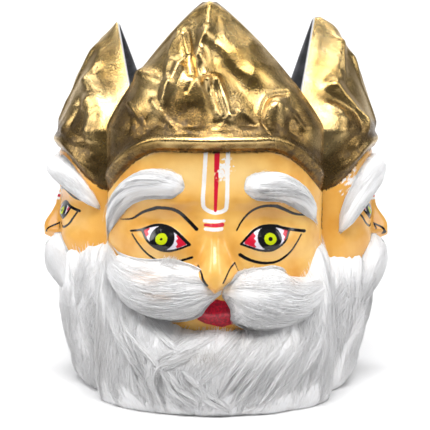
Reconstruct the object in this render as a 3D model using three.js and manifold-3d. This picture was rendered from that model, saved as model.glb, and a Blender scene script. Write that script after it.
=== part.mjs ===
// A helmet mask with three faces, made of papier-mache and dressed with combed wool.
// Three thin castings, each a face with its pointed crown leaf, are glued along two
// upright seams. Millimetres, +Z up, the large front face looks to -Y.
import * as THREE from 'three';
import { mergeVertices } from 'three/addons/utils/BufferGeometryUtils.js';
import Module from 'manifold-3d';

const wasm = await Module();
wasm.setup();

// Driving dimensions of the whole mask
const WALL = 3;            // papier-mache wall
const GAP = 0.3;           // clearance between pieces that touch
const SEAM_X = 97;         // half the width between the two seams
const SEAM_Y = -31.6;      // the seams stand in this plane
const BOTTOM_Z = 25;       // lower edge of the castings, inside the ring of wool
const CHEEK_Z = 125;       // the castings narrow towards the jaw below this height
const JAW_DEPTH = 0.6;     // share of the depth that is left at the lower edge
const FLESH = 2.5;         // the painted face stands off the smooth form all over
const NOSE_HOLLOW = 9;     // on the inner side behind the nose
const SIDE_HALF = 76;      // half the width of a side casting along its seams
const FRONT_OFF = 1;       // the front casting sits this much off the middle, by hand

// A casting is told by its half width, its depth in front of its edges, the rim of its
// crown (height at the middle, drop at the seams), its shoulder, where the leaf starts
// to narrow, and its tip. face scales the features. bow pulls the leaf's edges inwards,
// the far one more and the near one less by the share skew. bead is the height of the
// strip along the edges, and border tells how far from them the relief starts and where
// it has its full height. taper is the power by which the leaf's depth shrinks towards
// its tip. nearEnd is the sign of share at the edge that lies nearer the front face.
const FRONT = {
  half: SEAM_X, depth: 64, rimZ: 232.6, rimDrop: 42, shoulderZ: 251, tipZ: 365, taper: 0.65,
  tipShift: -5, bow: 3, skew: 0, bead: 2.5, border: [2, 16], face: 1,
  columns: 28, innerColumns: 10, crownRows: 11, turn: 0, x: -FRONT_OFF, y: SEAM_Y, nearEnd: 1,
};
const SIDE = {
  half: SIDE_HALF, depth: 56, rimZ: 224, rimDrop: 33, shoulderZ: 246, tipZ: 348,
  tipShift: 0, bow: 18, skew: 0.15, bead: 0, border: [10, 30], face: 0.73,
  columns: 20, innerColumns: 8, crownRows: 9,
};
const SIDE_X = SEAM_X - WALL;               // the side castings' edges lie behind the front's
const SIDE_Y = SEAM_Y + GAP + SIDE_HALF;
const LEFT = { ...SIDE, taper: 0.8, turn: -Math.PI / 2, x: -SIDE_X, y: SIDE_Y, nearEnd: 1 };
const RIGHT = {
  ...SIDE, tipZ: 353, taper: 0.53, turn: Math.PI / 2, x: SIDE_X, y: SIDE_Y, nearEnd: -1,
};

// Heights on the front face where the spacing of the rows changes
const MOUTH_Z = 100;
const NOSE_TIP_Z = 130;
const EYE_TOP_Z = 175;
const ROLL_TOP = 22;       // the roll round the rim ends this far above it
const ROLL = { least: 1.5, swell: 3.5, ends: [8, 40], spread: 5 };   // roll of foil, lower near its ends
const TIP_CUT = 2;         // the leaf ends this far below the point of its outline
const BOW_AT = 0.35;       // share of the leaf's height where its edges are pulled in most

// The nose: heights of its root, saddle, tip and underside, how much the underside rises
// to both sides, how much of its height the bridge has at the saddle, its half width at
// saddle and tip, and the wings beside it
const NOSE = {
  height: 23.5, root: 186, saddle: 162, tip: 127, underside: [105, 117], rise: 0.7,
  bridge: 0.3, width: [6, 11.5], wings: { at: [13, 123], size: [6, 6.5], height: 7.5 },
};
// Forms of the face on both sides of its middle: place, radii, and height
const FACE_HILLS = [
  { at: [44, 169], size: [24, 11], height: -3.5 },   // sockets over the eyes
  { at: [44, 192], size: [34, 9], height: 4 },       // brow ridges
  { at: [47, 153], size: [21, 11], height: 5 },      // eyes
  { at: [56, 118], size: [24, 20], height: 5 },      // cheeks
  { at: [0, 90], size: [19, 9], height: 7 },         // lips
  { at: [0, 60], size: [20, 14], height: 5 },        // chin
];

const { clamp, smoothstep } = THREE.MathUtils;
const hill = (dx, dz, rx, rz) => Math.exp(-((dx / rx) ** 2) - (dz / rz) ** 2);
const hillHeight = (x, z, { at, size, height }) => height * hill(x - at[0], z - at[1], ...size);

const CROWN = { least: 1.5, swell: 4 };    // thickness of the gilded skin at edges and middle
// Ridges and grooves of the gilded crowns, in the front casting's x and z: ends, half
// width, and height, below 0 for a groove. On a side crown x grows towards the front.
const FRONT_FOLDS = [
  { from: [-5, 363], to: [-8, 331], width: 6, height: 3 },
  { from: [-8, 331], to: [-13, 312], width: 5, height: 4 },
  { from: [-13, 312], to: [-6, 292], width: 6, height: 5 },
  { from: [-6, 290], to: [2, 264], width: 4, height: 4 },
  { from: [2, 294], to: [12, 262], width: 4, height: 3.5 },
  { from: [-43, 276], to: [-30, 306], width: 4.5, height: 4 },
  { from: [-25, 334], to: [-20, 300], width: 4, height: -4 },
  { from: [-74, 300], to: [-42, 289], width: 7, height: 4 },
  { from: [-2, 330], to: [34, 299], width: 7, height: 3 },
  { from: [34, 299], to: [68, 283], width: 7, height: 3 },
  { from: [4, 312], to: [34, 272], width: 6, height: -3 },
];
const LEFT_FOLDS = [
  { from: [42, 314], to: [78, 287], width: 6, height: -4 },
  { from: [34, 304], to: [80, 274], width: 7, height: 4 },
  { from: [52, 280], to: [88, 242], width: 7, height: -5 },
  { from: [50, 250], to: [90, 246], width: 6, height: 3 },
  { from: [-60, 300], to: [-20, 262], width: 8, height: 3 },
  { from: [-10, 334], to: [-44, 268], width: 8, height: -3 },
  { from: [10, 334], to: [4, 262], width: 7, height: 3 },
];
const RIGHT_FOLDS = [
  { from: [18, 338], to: [60, 296], width: 6, height: 4 },
  { from: [60, 296], to: [56, 270], width: 6, height: 4 },
  { from: [74, 292], to: [62, 268], width: 6, height: -4 },
  { from: [62, 268], to: [90, 240], width: 8, height: -5 },
  { from: [52, 262], to: [78, 240], width: 6, height: 3 },
  { from: [-60, 296], to: [-16, 262], width: 8, height: 3 },
  { from: [-6, 336], to: [-40, 256], width: 8, height: -3 },
  { from: [10, 322], to: [2, 258], width: 7, height: 3 },
];
// Hollows and bosses of the crowns: middle, radii, and height
const FRONT_BOSSES = [
  { at: [-19, 264], size: [14, 17], height: -5 },
  { at: [30, 256], size: [11, 9], height: -4 },
  { at: [-58, 255], size: [13, 13], height: -5 },
  { at: [-82, 256], size: [9, 16], height: -5 },
  { at: [52, 268], size: [10, 10], height: 5 },
  { at: [69, 254], size: [10, 13], height: -5 },
];
const LEFT_BOSSES = [
  { at: [58, 281], size: [9, 8], height: 4 },
  { at: [68, 262], size: [11, 10], height: -4 },
  { at: [-40, 270], size: [14, 12], height: -3 },
];
const RIGHT_BOSSES = [
  { at: [66, 254], size: [11, 10], height: -4 },
  { at: [54, 262], size: [7, 7], height: 3 },
  { at: [-44, 272], size: [14, 12], height: -3 },
];

const CROWN_CARVING = new Map([
  [FRONT, { folds: FRONT_FOLDS, bosses: FRONT_BOSSES }],
  [LEFT, { folds: LEFT_FOLDS, bosses: LEFT_BOSSES }],
  [RIGHT, { folds: RIGHT_FOLDS, bosses: RIGHT_BOSSES }],
]);

function besideLine(x, z, from, to) {
  const [ax, az] = from;
  const [bx, bz] = [to[0] - ax, to[1] - az];
  const along = clamp(((x - ax) * bx + (z - az) * bz) / (bx * bx + bz * bz), 0, 1);
  return Math.hypot(x - ax - along * bx, z - az - along * bz);
}

// Rows of a casting are told by their height at its middle, and hang down at the seams
// as the rim does. share runs from -1 to 1 between the casting's edges.
function rowHeight(c, share, level) {
  const droop = level < c.rimZ
    ? smoothstep(level, CHEEK_Z, c.rimZ)
    : (c.tipZ - level) / (c.tipZ - c.rimZ);
  return level - c.rimDrop * droop * smoothstep(Math.abs(share), 0.3, 0.95);
}

// Half width and depth of the level section at a height
function sectionAt(c, z) {
  const jaw = Math.sin(Math.PI / 2 * clamp((z - BOTTOM_Z) / (CHEEK_Z - BOTTOM_Z), 0, 1));
  const up = clamp((z - c.shoulderZ) / (c.tipZ - c.shoulderZ), 0, 1);
  return {
    half: c.half * (1 - up ** 1.15) ** 0.85,
    depth: c.depth * (JAW_DEPTH + (1 - JAW_DEPTH) * jaw) * (1 - up) ** c.taper,
    up,
  };
}

// How far a leaf's edge is pulled inwards: straight down from the tip, then back out
function bowed(c, up, angle) {
  const pull = smoothstep(up, 0, BOW_AT) * (1 - up) / (1 - BOW_AT);
  return c.bow * pull * (1 - Math.cos(angle)) * (1 - c.skew * c.nearEnd * Math.sin(angle));
}

// The smooth form: half an ellipse at each height, in a frame with the edges at y = 0
function plainPoint(c, share, level, thick = 0) {
  const z = rowHeight(c, share, level);
  const { half, depth, up } = sectionAt(c, z);
  const angle = share * Math.PI / 2;
  return new THREE.Vector3(
    (half + thick) * Math.sin(angle) + c.tipShift * up,
    bowed(c, up, angle) - (depth + thick) * Math.cos(angle),
    z,
  );
}

// Unit normal, taken no nearer to the tip than where the leaf is still wide enough
function outwards(c, share, level) {
  const reach = 0.02;
  const low = Math.min(level, c.tipZ - 3 * TIP_CUT);
  const across = plainPoint(c, share + reach, low).sub(plainPoint(c, share - reach, low));
  const up = plainPoint(c, share, low + 1).sub(plainPoint(c, share, low - 1));
  return across.cross(up).normalize();
}

// A point's place in the front casting's own x and z, where the features are described
function featurePlace(c, x, z) {
  const span = (FRONT.tipZ - FRONT.rimZ) / (c.tipZ - c.rimZ);
  const above = z - c.rimZ;
  return [x * SEAM_X / c.half, FRONT.rimZ + (above > 0 ? above * span : above / c.face)];
}

function noseHeight(side, z) {
  const bridge = NOSE.bridge * smoothstep(-z, -NOSE.root, -NOSE.saddle);
  const towardsTip = smoothstep(-z, -NOSE.saddle, -NOSE.tip);
  const under = smoothstep(z - NOSE.rise * side, ...NOSE.underside);
  const width = NOSE.width[0] + (NOSE.width[1] - NOSE.width[0]) * towardsTip;
  const along = (bridge + (1 - NOSE.bridge) * towardsTip) * under;
  return NOSE.height * along * Math.exp(-((side / width) ** 2.4)) + hillHeight(side, z, NOSE.wings);
}

function faceForms(x, z) {
  const side = Math.abs(x);
  return FACE_HILLS.reduce((sum, form) => sum + hillHeight(side, z, form), noseHeight(side, z) + FLESH);
}

// Length of a quarter of an ellipse, near enough for these
const quarterArc = (half, depth) => Math.PI / 2 * Math.hypot(half, depth) / Math.SQRT2;

// Distance along the form from a casting's edge
function edgeDistance(c, share, level) {
  const { half, depth } = sectionAt(c, rowHeight(c, share, level));
  return (1 - Math.abs(share)) * quarterArc(half, depth);
}

function crownForms(c, fromEdge, share, level, x, z) {
  const aboveRim = level - c.rimZ;
  const inside = smoothstep(fromEdge, 8, 20) * smoothstep(aboveRim, 14, 24);
  const { folds, bosses } = CROWN_CARVING.get(c);
  const near = x * c.nearEnd;
  let carving = 0;
  for (const fold of folds) {
    carving += fold.height * Math.exp(-((besideLine(near, z, fold.from, fold.to) / fold.width) ** 2));
  }
  for (const boss of bosses) carving += hillHeight(near, z, boss);
  const body = CROWN.least + CROWN.swell * (1 - share ** 4);
  const border = 2.5 * Math.exp(-(((fromEdge - 8) / 5) ** 2)) * smoothstep(aboveRim, 10, 24);
  const rollHeight = ROLL.least + ROLL.swell * smoothstep(fromEdge, ...ROLL.ends);
  const roll = rollHeight * Math.exp(-(((aboveRim - ROLL_TOP / 2) / ROLL.spread) ** 2));
  const foil = smoothstep(aboveRim, 0, 5);
  return Math.max(CROWN.least, foil * (body + border + roll + inside * carving));
}

// How far the outer face stands off the smooth form
function reliefAt(c, share, level) {
  const base = plainPoint(c, share, level);
  const [x, z] = featurePlace(c, base.x, base.z);
  const fromEdge = edgeDistance(c, share, level);
  const forms = level > c.rimZ - 0.01
    ? crownForms(c, fromEdge, share, level, x, z)
    : faceForms(x, z);
  const bead = c.bead * Math.exp(-((fromEdge / 5) ** 2));
  return c.face * forms * smoothstep(fromEdge, ...c.border) + bead;
}

// The inner face follows the smooth form, with a shallow hollow behind the nose
function innerRelief(c, share, level) {
  const base = plainPoint(c, share, level);
  const [x, z] = featurePlace(c, base.x, base.z);
  return c.face * NOSE_HOLLOW * hill(x, z - 138, 10, 20) - WALL;
}

// Heights of a casting's rows, closer together on the features and the crown
function castingLevels(c) {
  const face = (z) => c.rimZ - (FRONT.rimZ - z) * c.face;
  const levels = [];
  const run = (from, to, count) => {
    for (let i = 0; i < count; i += 1) levels.push(from + (to - from) * i / count);
  };
  run(BOTTOM_Z, face(MOUTH_Z), 2);
  run(face(MOUTH_Z), face(NOSE_TIP_Z), 4);
  run(face(NOSE_TIP_Z), face(EYE_TOP_Z), 4);
  run(face(EYE_TOP_Z), c.rimZ, 3);
  run(c.rimZ, c.rimZ + ROLL_TOP * c.face, 4);
  run(c.rimZ + ROLL_TOP * c.face, c.tipZ - TIP_CUT, c.crownRows);
  levels.push(c.tipZ - TIP_CUT);
  return levels;
}

// Columns stand closer together at the middle of the face
function castingShares(count) {
  return Array.from({ length: count + 1 }, (_, i) => {
    const u = 2 * i / count - 1;
    return u * (0.72 + 0.28 * u * u);
  });
}

// A closed solid between an outer and an inner grid of points. Each grid is a list of
// rows from the bottom up, and each row runs from -x to +x. The grids may differ in
// their counts, so their borders are joined by a strip that steps along both.
function closedSolid(outer, inner) {
  const points = [];
  const faces = [];
  const add = (grid, flip) => {
    const start = points.length;
    const width = grid[0].length;
    grid.forEach((row) => points.push(...row));
    for (let j = 0; j + 1 < grid.length; j += 1) {
      for (let i = 0; i + 1 < width; i += 1) {
        const a = start + j * width + i;
        const quad = [a, a + 1, a + width + 1, a, a + width + 1, a + width];
        faces.push(...(flip ? quad.reverse() : quad));
      }
    }
    const side = (length, at) => Array.from({ length }, (_, i) => [at(i), i / length]);
    const rows = grid.length - 1;
    const last = width - 1;
    return [
      ...side(last, (i) => start + i),
      ...side(rows, (j) => start + j * width + last).map(([k, t]) => [k, t + 1]),
      ...side(last, (i) => start + rows * width + last - i).map(([k, t]) => [k, t + 2]),
      ...side(rows, (j) => start + (rows - j) * width).map(([k, t]) => [k, t + 3]),
      [start, 4],
    ];
  };
  const rim = add(outer, false);
  const hem = add(inner, true);
  let a = 0;
  let b = 0;
  while (a + 1 < rim.length || b + 1 < hem.length) {
    const stepOuter = b + 1 >= hem.length
      || (a + 1 < rim.length && rim[a + 1][1] <= hem[b + 1][1]);
    if (stepOuter) {
      faces.push(rim[a][0], hem[b][0], rim[a + 1][0]);
      a += 1;
    } else {
      faces.push(rim[a][0], hem[b][0], hem[b + 1][0]);
      b += 1;
    }
  }
  const geometry = new THREE.BufferGeometry();
  const xyz = points.flatMap((p) => [p.x, p.y, p.z]);
  geometry.setAttribute('position', new THREE.Float32BufferAttribute(xyz, 3));
  geometry.setIndex(faces);
  return mergeVertices(geometry, 1e-4);
}

const gridOf = (levels, shares, at) => levels.map((z) => shares.map((s) => at(s, z)));
const everyOther = (list) => list.filter((_, i) => i % 2 === 0 || i === list.length - 1);

function castingSurface(c, shares, levels, lift) {
  return gridOf(levels, shares, (share, level) => plainPoint(c, share, level)
    .addScaledVector(outwards(c, share, level), lift(c, share, level)));
}

function castingGeometry(c) {
  const shares = castingShares(c.columns);
  const levels = castingLevels(c);
  return closedSolid(
    castingSurface(c, shares, levels, reliefAt),
    castingSurface(c, castingShares(c.innerColumns), everyOther(levels), innerRelief),
  );
}

const CUT_FOOT = -20;       // bodies that cut the wool reach down to here
const CUT_DEPTH = 18;       // and this far behind the smooth form

// The room that a casting takes from the wool: its outer face, a gap further out, down
// through the floor, and closed deep inside
function castingBlock(c) {
  const shares = castingShares(c.columns);
  const levels = castingLevels(c);
  const inflated = castingSurface(c, shares, levels, (...at) => reliefAt(...at) + GAP);
  const foot = inflated[0].map((p) => new THREE.Vector3(p.x, p.y, CUT_FOOT));
  const deep = castingSurface(c, castingShares(c.innerColumns), everyOther(levels), () => -CUT_DEPTH);
  const deepFoot = deep[0].map((p) => new THREE.Vector3(p.x, p.y, CUT_FOOT));
  return closedSolid([foot, ...inflated], [deepFoot, ...deep]);
}

function toManifold(geometry) {
  return new wasm.Manifold(new wasm.Mesh({
    numProp: 3,
    vertProperties: new Float32Array(geometry.attributes.position.array),
    triVerts: new Uint32Array(geometry.index.array),
  }));
}

function fromManifold(solid) {
  const { numProp, vertProperties, triVerts } = solid.getMesh();
  const xyz = [];
  for (let i = 0; i < vertProperties.length; i += numProp) {
    xyz.push(vertProperties[i], vertProperties[i + 1], vertProperties[i + 2]);
  }
  const geometry = new THREE.BufferGeometry();
  geometry.setAttribute('position', new THREE.Float32BufferAttribute(xyz, 3));
  geometry.setIndex(Array.from(triVerts));
  return mergeVertices(geometry, 1e-4);
}

// Cutting leaves crumbs where two curved faces graze: only the main body is the piece
function mainBody(solid) {
  return solid.decompose().reduce((a, b) => (Math.abs(a.volume()) > Math.abs(b.volume()) ? a : b));
}

const placeOf = (c) => new THREE.Matrix4()
  .makeRotationZ(c.turn)
  .setPosition(c.x, c.y, 0);

// Moves a geometry from one casting's frame to another's
function carried(geometry, from, to) {
  return geometry.clone().applyMatrix4(placeOf(to).invert().multiply(placeOf(from)));
}

// Wool. A pad lies on the smooth form: across runs from -1 to 1, down from 0 to 1, and
// route gives share, level and thickness there.
function padGrid(c, columns, rows, route, lift = 0) {
  const grid = [];
  for (let j = rows; j >= 0; j -= 1) {
    const row = [];
    for (let i = 0; i <= columns; i += 1) {
      const { share, z, thick } = route(2 * i / columns - 1, j / rows);
      const { half, depth } = sectionAt(c, z);
      const angle = share * Math.PI / 2;
      row.push(new THREE.Vector3(
        (half + thick + lift) * Math.sin(angle),
        -(depth + thick + lift) * Math.cos(angle),
        z,
      ));
    }
    grid.push(row);
  }
  return grid;
}

// Beards. The locks run down and towards the middle, each a ridge of two facets. middle
// is the thickness in front at the heights in heights, sides that at the two edges,
// footprint the share of it that is left where the beard rounds in to the floor. Its
// upper edge climbs to burnTop, a height on the front face, between the shares of swing.
const BEARD_HEIGHTS = [0, 45, 90, 130];
const BEARDS = {
  front: {
    reach: 1.12, middle: [56, 52, 34, 15], sides: [13, 13], footprint: 0.8,
    burnTop: 148, swing: [0.25, 1], locks: 13, rows: 7, sway: 0.07,
  },
  side: {
    reach: 1.1, middle: [15, 16, 12, 10], sides: [7, 13], footprint: 0.25,
    burnTop: 116, swing: [0.05, 0.55], locks: 10, rows: 6, sway: 0.04,
  },
};
const CHIN_TOP = 72;        // the beard starts here under the lip of the front face
const LOCK_DEPTH = 6;
const TUCK = 1;             // the beard starts this far behind the smooth form,
const BACKING = 10;         // and is this deep behind it before it is cut
const BACKING_ROWS = 4;
const ROOT_SLOPE = 12;      // the beard gains its thickness over this drop
const CURL_UNDER = 24;      // and rounds in below this height

function beardMiddle(form, z) {
  let thick = form.middle[0];
  for (let i = 1; i < BEARD_HEIGHTS.length; i += 1) {
    const step = form.middle[i] - form.middle[i - 1];
    thick += step * smoothstep(z, BEARD_HEIGHTS[i - 1], BEARD_HEIGHTS[i]);
  }
  return thick;
}

function beardTop(c, form, share) {
  const z = CHIN_TOP + (form.burnTop - CHIN_TOP) * smoothstep(Math.abs(share), ...form.swing);
  return c.rimZ - (FRONT.rimZ - z) * c.face;
}

function beardRoute(c, form) {
  return (across, down) => {
    const fall = Math.sin(Math.PI * Math.min(1, down * 0.9));
    const share = form.reach * (across - form.sway * fall * Math.sin(Math.PI * across));
    const top = beardTop(c, form, Math.min(1, Math.abs(form.reach * across)));
    const z = top * (1 - down ** 0.9);
    const grown = 1 - Math.exp(-(top - z) / ROOT_SLOPE);
    const front = Math.max(0, Math.cos(share * Math.PI / 2)) ** 1.5;
    const side = form.sides[share * c.nearEnd < 0 ? 0 : 1];
    const curl = Math.max(0, 1 - z / CURL_UNDER) ** 2;
    const under = Math.sqrt(1 - (1 - form.footprint ** 2) * curl);
    const ridge = Math.abs(Math.cos(Math.PI / 2 * form.locks * across));
    const thick = (side + (beardMiddle(form, z) - side) * front) * under;
    const lock = LOCK_DEPTH * c.face * (ridge - 0.5) * grown;
    return { share, z, thick: grown * (thick + lock) - TUCK };
  };
}

function beardParts(c) {
  const form = c.face < 1 ? BEARDS.side : BEARDS.front;
  const route = beardRoute(c, form);
  const columns = form.locks * 2;
  const backing = (across, down) => ({ ...route(across, down), thick: -BACKING });
  const outer = padGrid(c, columns, form.rows, route);
  const inner = padGrid(c, form.locks, BACKING_ROWS, backing);
  const room = padGrid(c, columns, form.rows, route, GAP);
  const roomFoot = room[0].map((p) => new THREE.Vector3(p.x, p.y, CUT_FOOT));
  const roomInner = padGrid(c, form.locks, BACKING_ROWS, backing);
  const roomInnerFoot = roomInner[0].map((p) => new THREE.Vector3(p.x, p.y, CUT_FOOT));
  return {
    solid: closedSolid(outer, inner),
    room: closedSolid([roomFoot, ...room], [roomInnerFoot, ...roomInner]),
  };
}

// Tufts of the brows and the moustache: a bundle that follows a path over the face.
// path gives the middle line in the front casting's x and z, tall the half width and
// thick the height over the smooth form; taper gives both along the path.
const TUFT_ROOT = 8;        // how deep a tuft starts behind the smooth form, before it is cut
const TUFT_BACK = 3;        // columns of its back

function tuftRow(c, tuft, line, v, count, offAt) {
  const arc = quarterArc(c.half, c.depth);
  return Array.from({ length: count + 1 }, (_, i) => {
    const t = i / count;
    const p = line.getPoint(t);
    const [alongArc, alongZ] = [line.getTangent(t).x * arc, line.getTangent(t).z];
    const fat = tuft.taper(t);
    const aside = v * tuft.tall * fat * c.face / Math.hypot(alongArc, alongZ);
    const share = p.x - aside * alongZ / arc;
    const z = p.z + aside * alongArc;
    const { half, depth } = sectionAt(c, z);
    const angle = share * Math.PI / 2;
    const off = c.face * offAt(v, fat);
    return new THREE.Vector3(
      tuft.side * (half + off) * Math.sin(angle),
      -(depth + off) * Math.cos(angle),
      z,
    );
  });
}

function tuftGeometry(c, tuft) {
  const points = tuft.path.map(([x, z]) => new THREE.Vector3(
    Math.asin(x / SEAM_X) / (Math.PI / 2),
    0,
    c.rimZ - (FRONT.rimZ - z) * c.face,
  ));
  const line = new THREE.CatmullRomCurve3(points);
  const crown = (j) => (j % 2 ? 1 : 1 - tuft.groove);
  const [columns, rows] = tuft.grid;
  const outer = Array.from({ length: rows + 1 }, (_, j) => {
    const round = (v, fat) => tuft.thick * fat ** 0.8 * crown(j) * Math.max(0, 1 - v * v) ** 0.4;
    return tuftRow(c, tuft, line, 2 * j / rows - 1, columns, round);
  });
  const inner = [-1, 1].map((v) => tuftRow(c, tuft, line, v, TUFT_BACK, () => -TUFT_ROOT));
  if (tuft.side < 0) [...outer, ...inner].forEach((row) => row.reverse());
  return closedSolid(outer, inner);
}

const puff = (start) => (t) => start + (1 - start) * Math.sin(Math.PI * (0.03 + 0.85 * t)) ** 1.2;
const brush = (t) => 0.62 + 0.4 * Math.sin(Math.PI * t ** 0.8) - 0.25 * t ** 3;
// Each tuft is drawn for the +x side and mirrored for the other
const TUFTS = {
  front: {
    moustache_left: {
      path: [[-3, 110], [11, 111.5], [34, 107], [60, 112], [86, 128]], side: -1,
      tall: 26, thick: 32, groove: 0.1, grid: [8, 4], taper: puff(0.1),
    },
    moustache_right: {
      path: [[8, 109], [21, 107.5], [39, 102], [61, 98], [87, 106]], side: 1,
      tall: 29, thick: 34, groove: 0.1, grid: [8, 4], taper: puff(0.1),
    },
    brow_left: {
      path: [[26, 202], [43, 206], [62, 204], [81, 189], [93, 160]], side: -1,
      tall: 13, thick: 17, groove: 0.12, grid: [6, 3], taper: brush,
    },
    brow_right: {
      path: [[25, 201], [41, 204], [58, 202], [75, 190], [88, 170]], side: 1,
      tall: 13, thick: 17, groove: 0.12, grid: [6, 3], taper: brush,
    },
  },
};
// A side face's moustache droops. The halves nearer the front face are on side 1 of the
// left face and on side -1 of the right face, whose brow reaches further down.
const SIDE_MOUSTACHE = {
  path: [[4, 103], [20, 105], [38, 95], [51, 76], [57, 56]],
  tall: 24, thick: 29, groove: 0.1, grid: [6, 3], taper: puff(0.25),
};
const LONG_MOUSTACHE = { ...SIDE_MOUSTACHE, path: [[4, 103], [20, 104], [38, 92], [52, 68], [59, 42]] };
const SIDE_BROW = {
  path: [[12, 212], [36, 212], [59, 206], [79, 192], [94, 168]],
  tall: 16, thick: 25, groove: 0.12, grid: [4, 2], taper: brush,
};
const LONG_BROW = { ...SIDE_BROW, tall: 19, path: [[12, 212], [36, 209], [59, 195], [79, 168], [90, 136]] };
TUFTS.left_face = {
  moustache_rear: { ...SIDE_MOUSTACHE, side: -1 },
  moustache_front: { ...SIDE_MOUSTACHE, side: 1 },
  brow_rear: { ...SIDE_BROW, side: -1 },
  brow_front: { ...SIDE_BROW, side: 1 },
};
TUFTS.right_face = {
  moustache_front: { ...LONG_MOUSTACHE, side: -1 },
  moustache_rear: { ...SIDE_MOUSTACHE, side: 1 },
  brow_front: { ...LONG_BROW, side: -1 },
  brow_rear: { ...SIDE_BROW, side: 1 },
};

const WOOL = { color: 0xf2f1ee, roughness: 0.95, metalness: 0 };
const PAPER = { color: 0xf2b04e, roughness: 0.35, metalness: 0.1 };

function addMesh(group, name, geometry, look) {
  const mesh = new THREE.Mesh(geometry, new THREE.MeshStandardMaterial(look));
  mesh.name = name;
  group.add(mesh);
}

const faces = [
  { c: FRONT, casting: 'front_mask', prefix: 'front' },
  { c: LEFT, casting: 'left_mask', prefix: 'left_face' },
  { c: RIGHT, casting: 'right_mask', prefix: 'right_face' },
];
const blocks = faces.map(({ c }) => ({ c, geometry: castingBlock(c) }));
const beards = faces.map(({ c }) => beardParts(c));

// Cuts away from a piece, in its own casting's frame, the rooms of other pieces
function cutBy(geometry, c, rooms) {
  let solid = toManifold(geometry);
  for (const room of rooms) solid = solid.subtract(toManifold(carried(room.geometry, room.c, c)));
  return mainBody(solid);
}

const mask = new THREE.Group();
faces.forEach(({ c, casting, prefix }, index) => {
  const head = new THREE.Group();
  head.position.set(c.x, c.y, 0);
  head.rotation.z = c.turn;
  mask.add(head);

  addMesh(head, casting, castingGeometry(c), PAPER);

  const frontBeard = index === 0 ? [] : [{ c: FRONT, geometry: beards[0].room }];
  const beard = cutBy(beards[index].solid, c, [...blocks, ...frontBeard]);
  addMesh(head, `${prefix}_beard`, fromManifold(beard), WOOL);

  const ownBeard = { c, geometry: beards[index].room };
  for (const [name, tuft] of Object.entries(TUFTS[prefix])) {
    const cut = cutBy(tuftGeometry(c, tuft), c, [...blocks, ownBeard, ...frontBeard]);
    addMesh(head, `${prefix}_${name}`, fromManifold(cut), WOOL);
  }
});

export default mask;
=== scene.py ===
"""A helmet mask with three faces: papier-mache castings under gold foil, dressed with combed wool."""

from dataclasses import dataclass, replace

import bpy
import numpy as np
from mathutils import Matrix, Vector


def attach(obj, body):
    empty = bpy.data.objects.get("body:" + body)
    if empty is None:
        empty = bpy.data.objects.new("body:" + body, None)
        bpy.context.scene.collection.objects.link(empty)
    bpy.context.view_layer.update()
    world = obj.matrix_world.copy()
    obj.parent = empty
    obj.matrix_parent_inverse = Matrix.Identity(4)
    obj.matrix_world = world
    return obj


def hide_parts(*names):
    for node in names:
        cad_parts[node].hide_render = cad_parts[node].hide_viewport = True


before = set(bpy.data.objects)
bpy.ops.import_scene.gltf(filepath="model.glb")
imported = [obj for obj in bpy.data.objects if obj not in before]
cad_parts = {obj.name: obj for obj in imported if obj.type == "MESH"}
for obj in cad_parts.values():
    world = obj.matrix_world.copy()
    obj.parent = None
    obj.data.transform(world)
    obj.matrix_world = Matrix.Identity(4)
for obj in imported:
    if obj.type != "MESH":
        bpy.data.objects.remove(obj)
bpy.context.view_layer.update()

bl_info = {
    "name": "Three-faced mask",
    "version": (1, 0, 0),
    "blender": (4, 5, 0),
    "location": "View3D > Sidebar > Mask",
    "description": "Papier-mache helmet mask with gilded crown leaves and combed wool",
    "category": "Add Mesh",
}

# Formulas work in millimetres, as the maker measures, and meshes are in metres
MM = 0.001
SEAM_Y = -31.6
SEAM_HALF = 97
GAP = 0.3
BOTTOM_Z = 25
CHEEK_Z = 125
JAW_DEPTH = 0.6
TIP_CUT = 2
BOW_AT = 0.35
DROOP_AT = (0.3, 0.95)
LEAF_POWERS = (1.15, 0.85)
BEAD_WIDTH = 5
FAR = 1e3


@dataclass(frozen=True)
class Casting:
    """One thin casting, a face with its crown leaf, in a frame with its edges at y = 0 and looking to
    -y. The crown starts at rim_z, and rim_drop lower at the seams. bow and skew pull the leaf's edges
    in, bead is the swelling along the edge, border the distance from it over which the forms rise, face
    the scale of the face's features, and taper the power with which the leaf grows flat."""

    name: str
    half: float = 76
    depth: float = 56
    rim_z: float = 224
    rim_drop: float = 33
    shoulder_z: float = 246
    tip_z: float = 348
    tip_shift: float = 0
    bow: float = 18
    skew: float = 0.15
    bead: float = 0
    border: tuple = (10, 30)
    face: float = 0.73
    turn: float = 0
    x: float = 0
    y: float = SEAM_Y + GAP + 76
    near_end: int = 1
    taper: float = 0.8
    columns: int = 168
    rows: int = 246
    seed: int = 1


FRONT = Casting(
    "front", half=SEAM_HALF, depth=64, rim_z=232.6, rim_drop=42, shoulder_z=251, tip_z=365,
    tip_shift=-5, bow=3, skew=0, bead=2.5, border=(2, 16), face=1, x=-1, y=SEAM_Y,
    taper=0.65, columns=237, rows=324, seed=3,
)
LEFT = Casting("left", turn=-np.pi / 2, x=-94, near_end=1, seed=5)
RIGHT = replace(LEFT, name="right", turn=np.pi / 2, x=94, near_end=-1, tip_z=353, taper=0.53, seed=9)
CASTINGS = {"front": FRONT, "left": LEFT, "right": RIGHT}


# Plain curves and noise


def smoothstep(x, low, high):
    """0 below low, 1 above high, and the cubic 3t^2 - 2t^3 between."""
    t = np.clip((x - low) / (high - low), 0, 1)
    return t * t * (3 - 2 * t)


def hill(dx, dz, rx, rz):
    """exp(-(dx/rx)^2 - (dz/rz)^2)."""
    return np.exp(-((dx / rx) ** 2) - (dz / rz) ** 2)


def bell(x, r):
    """exp(-(x/r)^2)."""
    return np.exp(-((x / r) ** 2))


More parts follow.
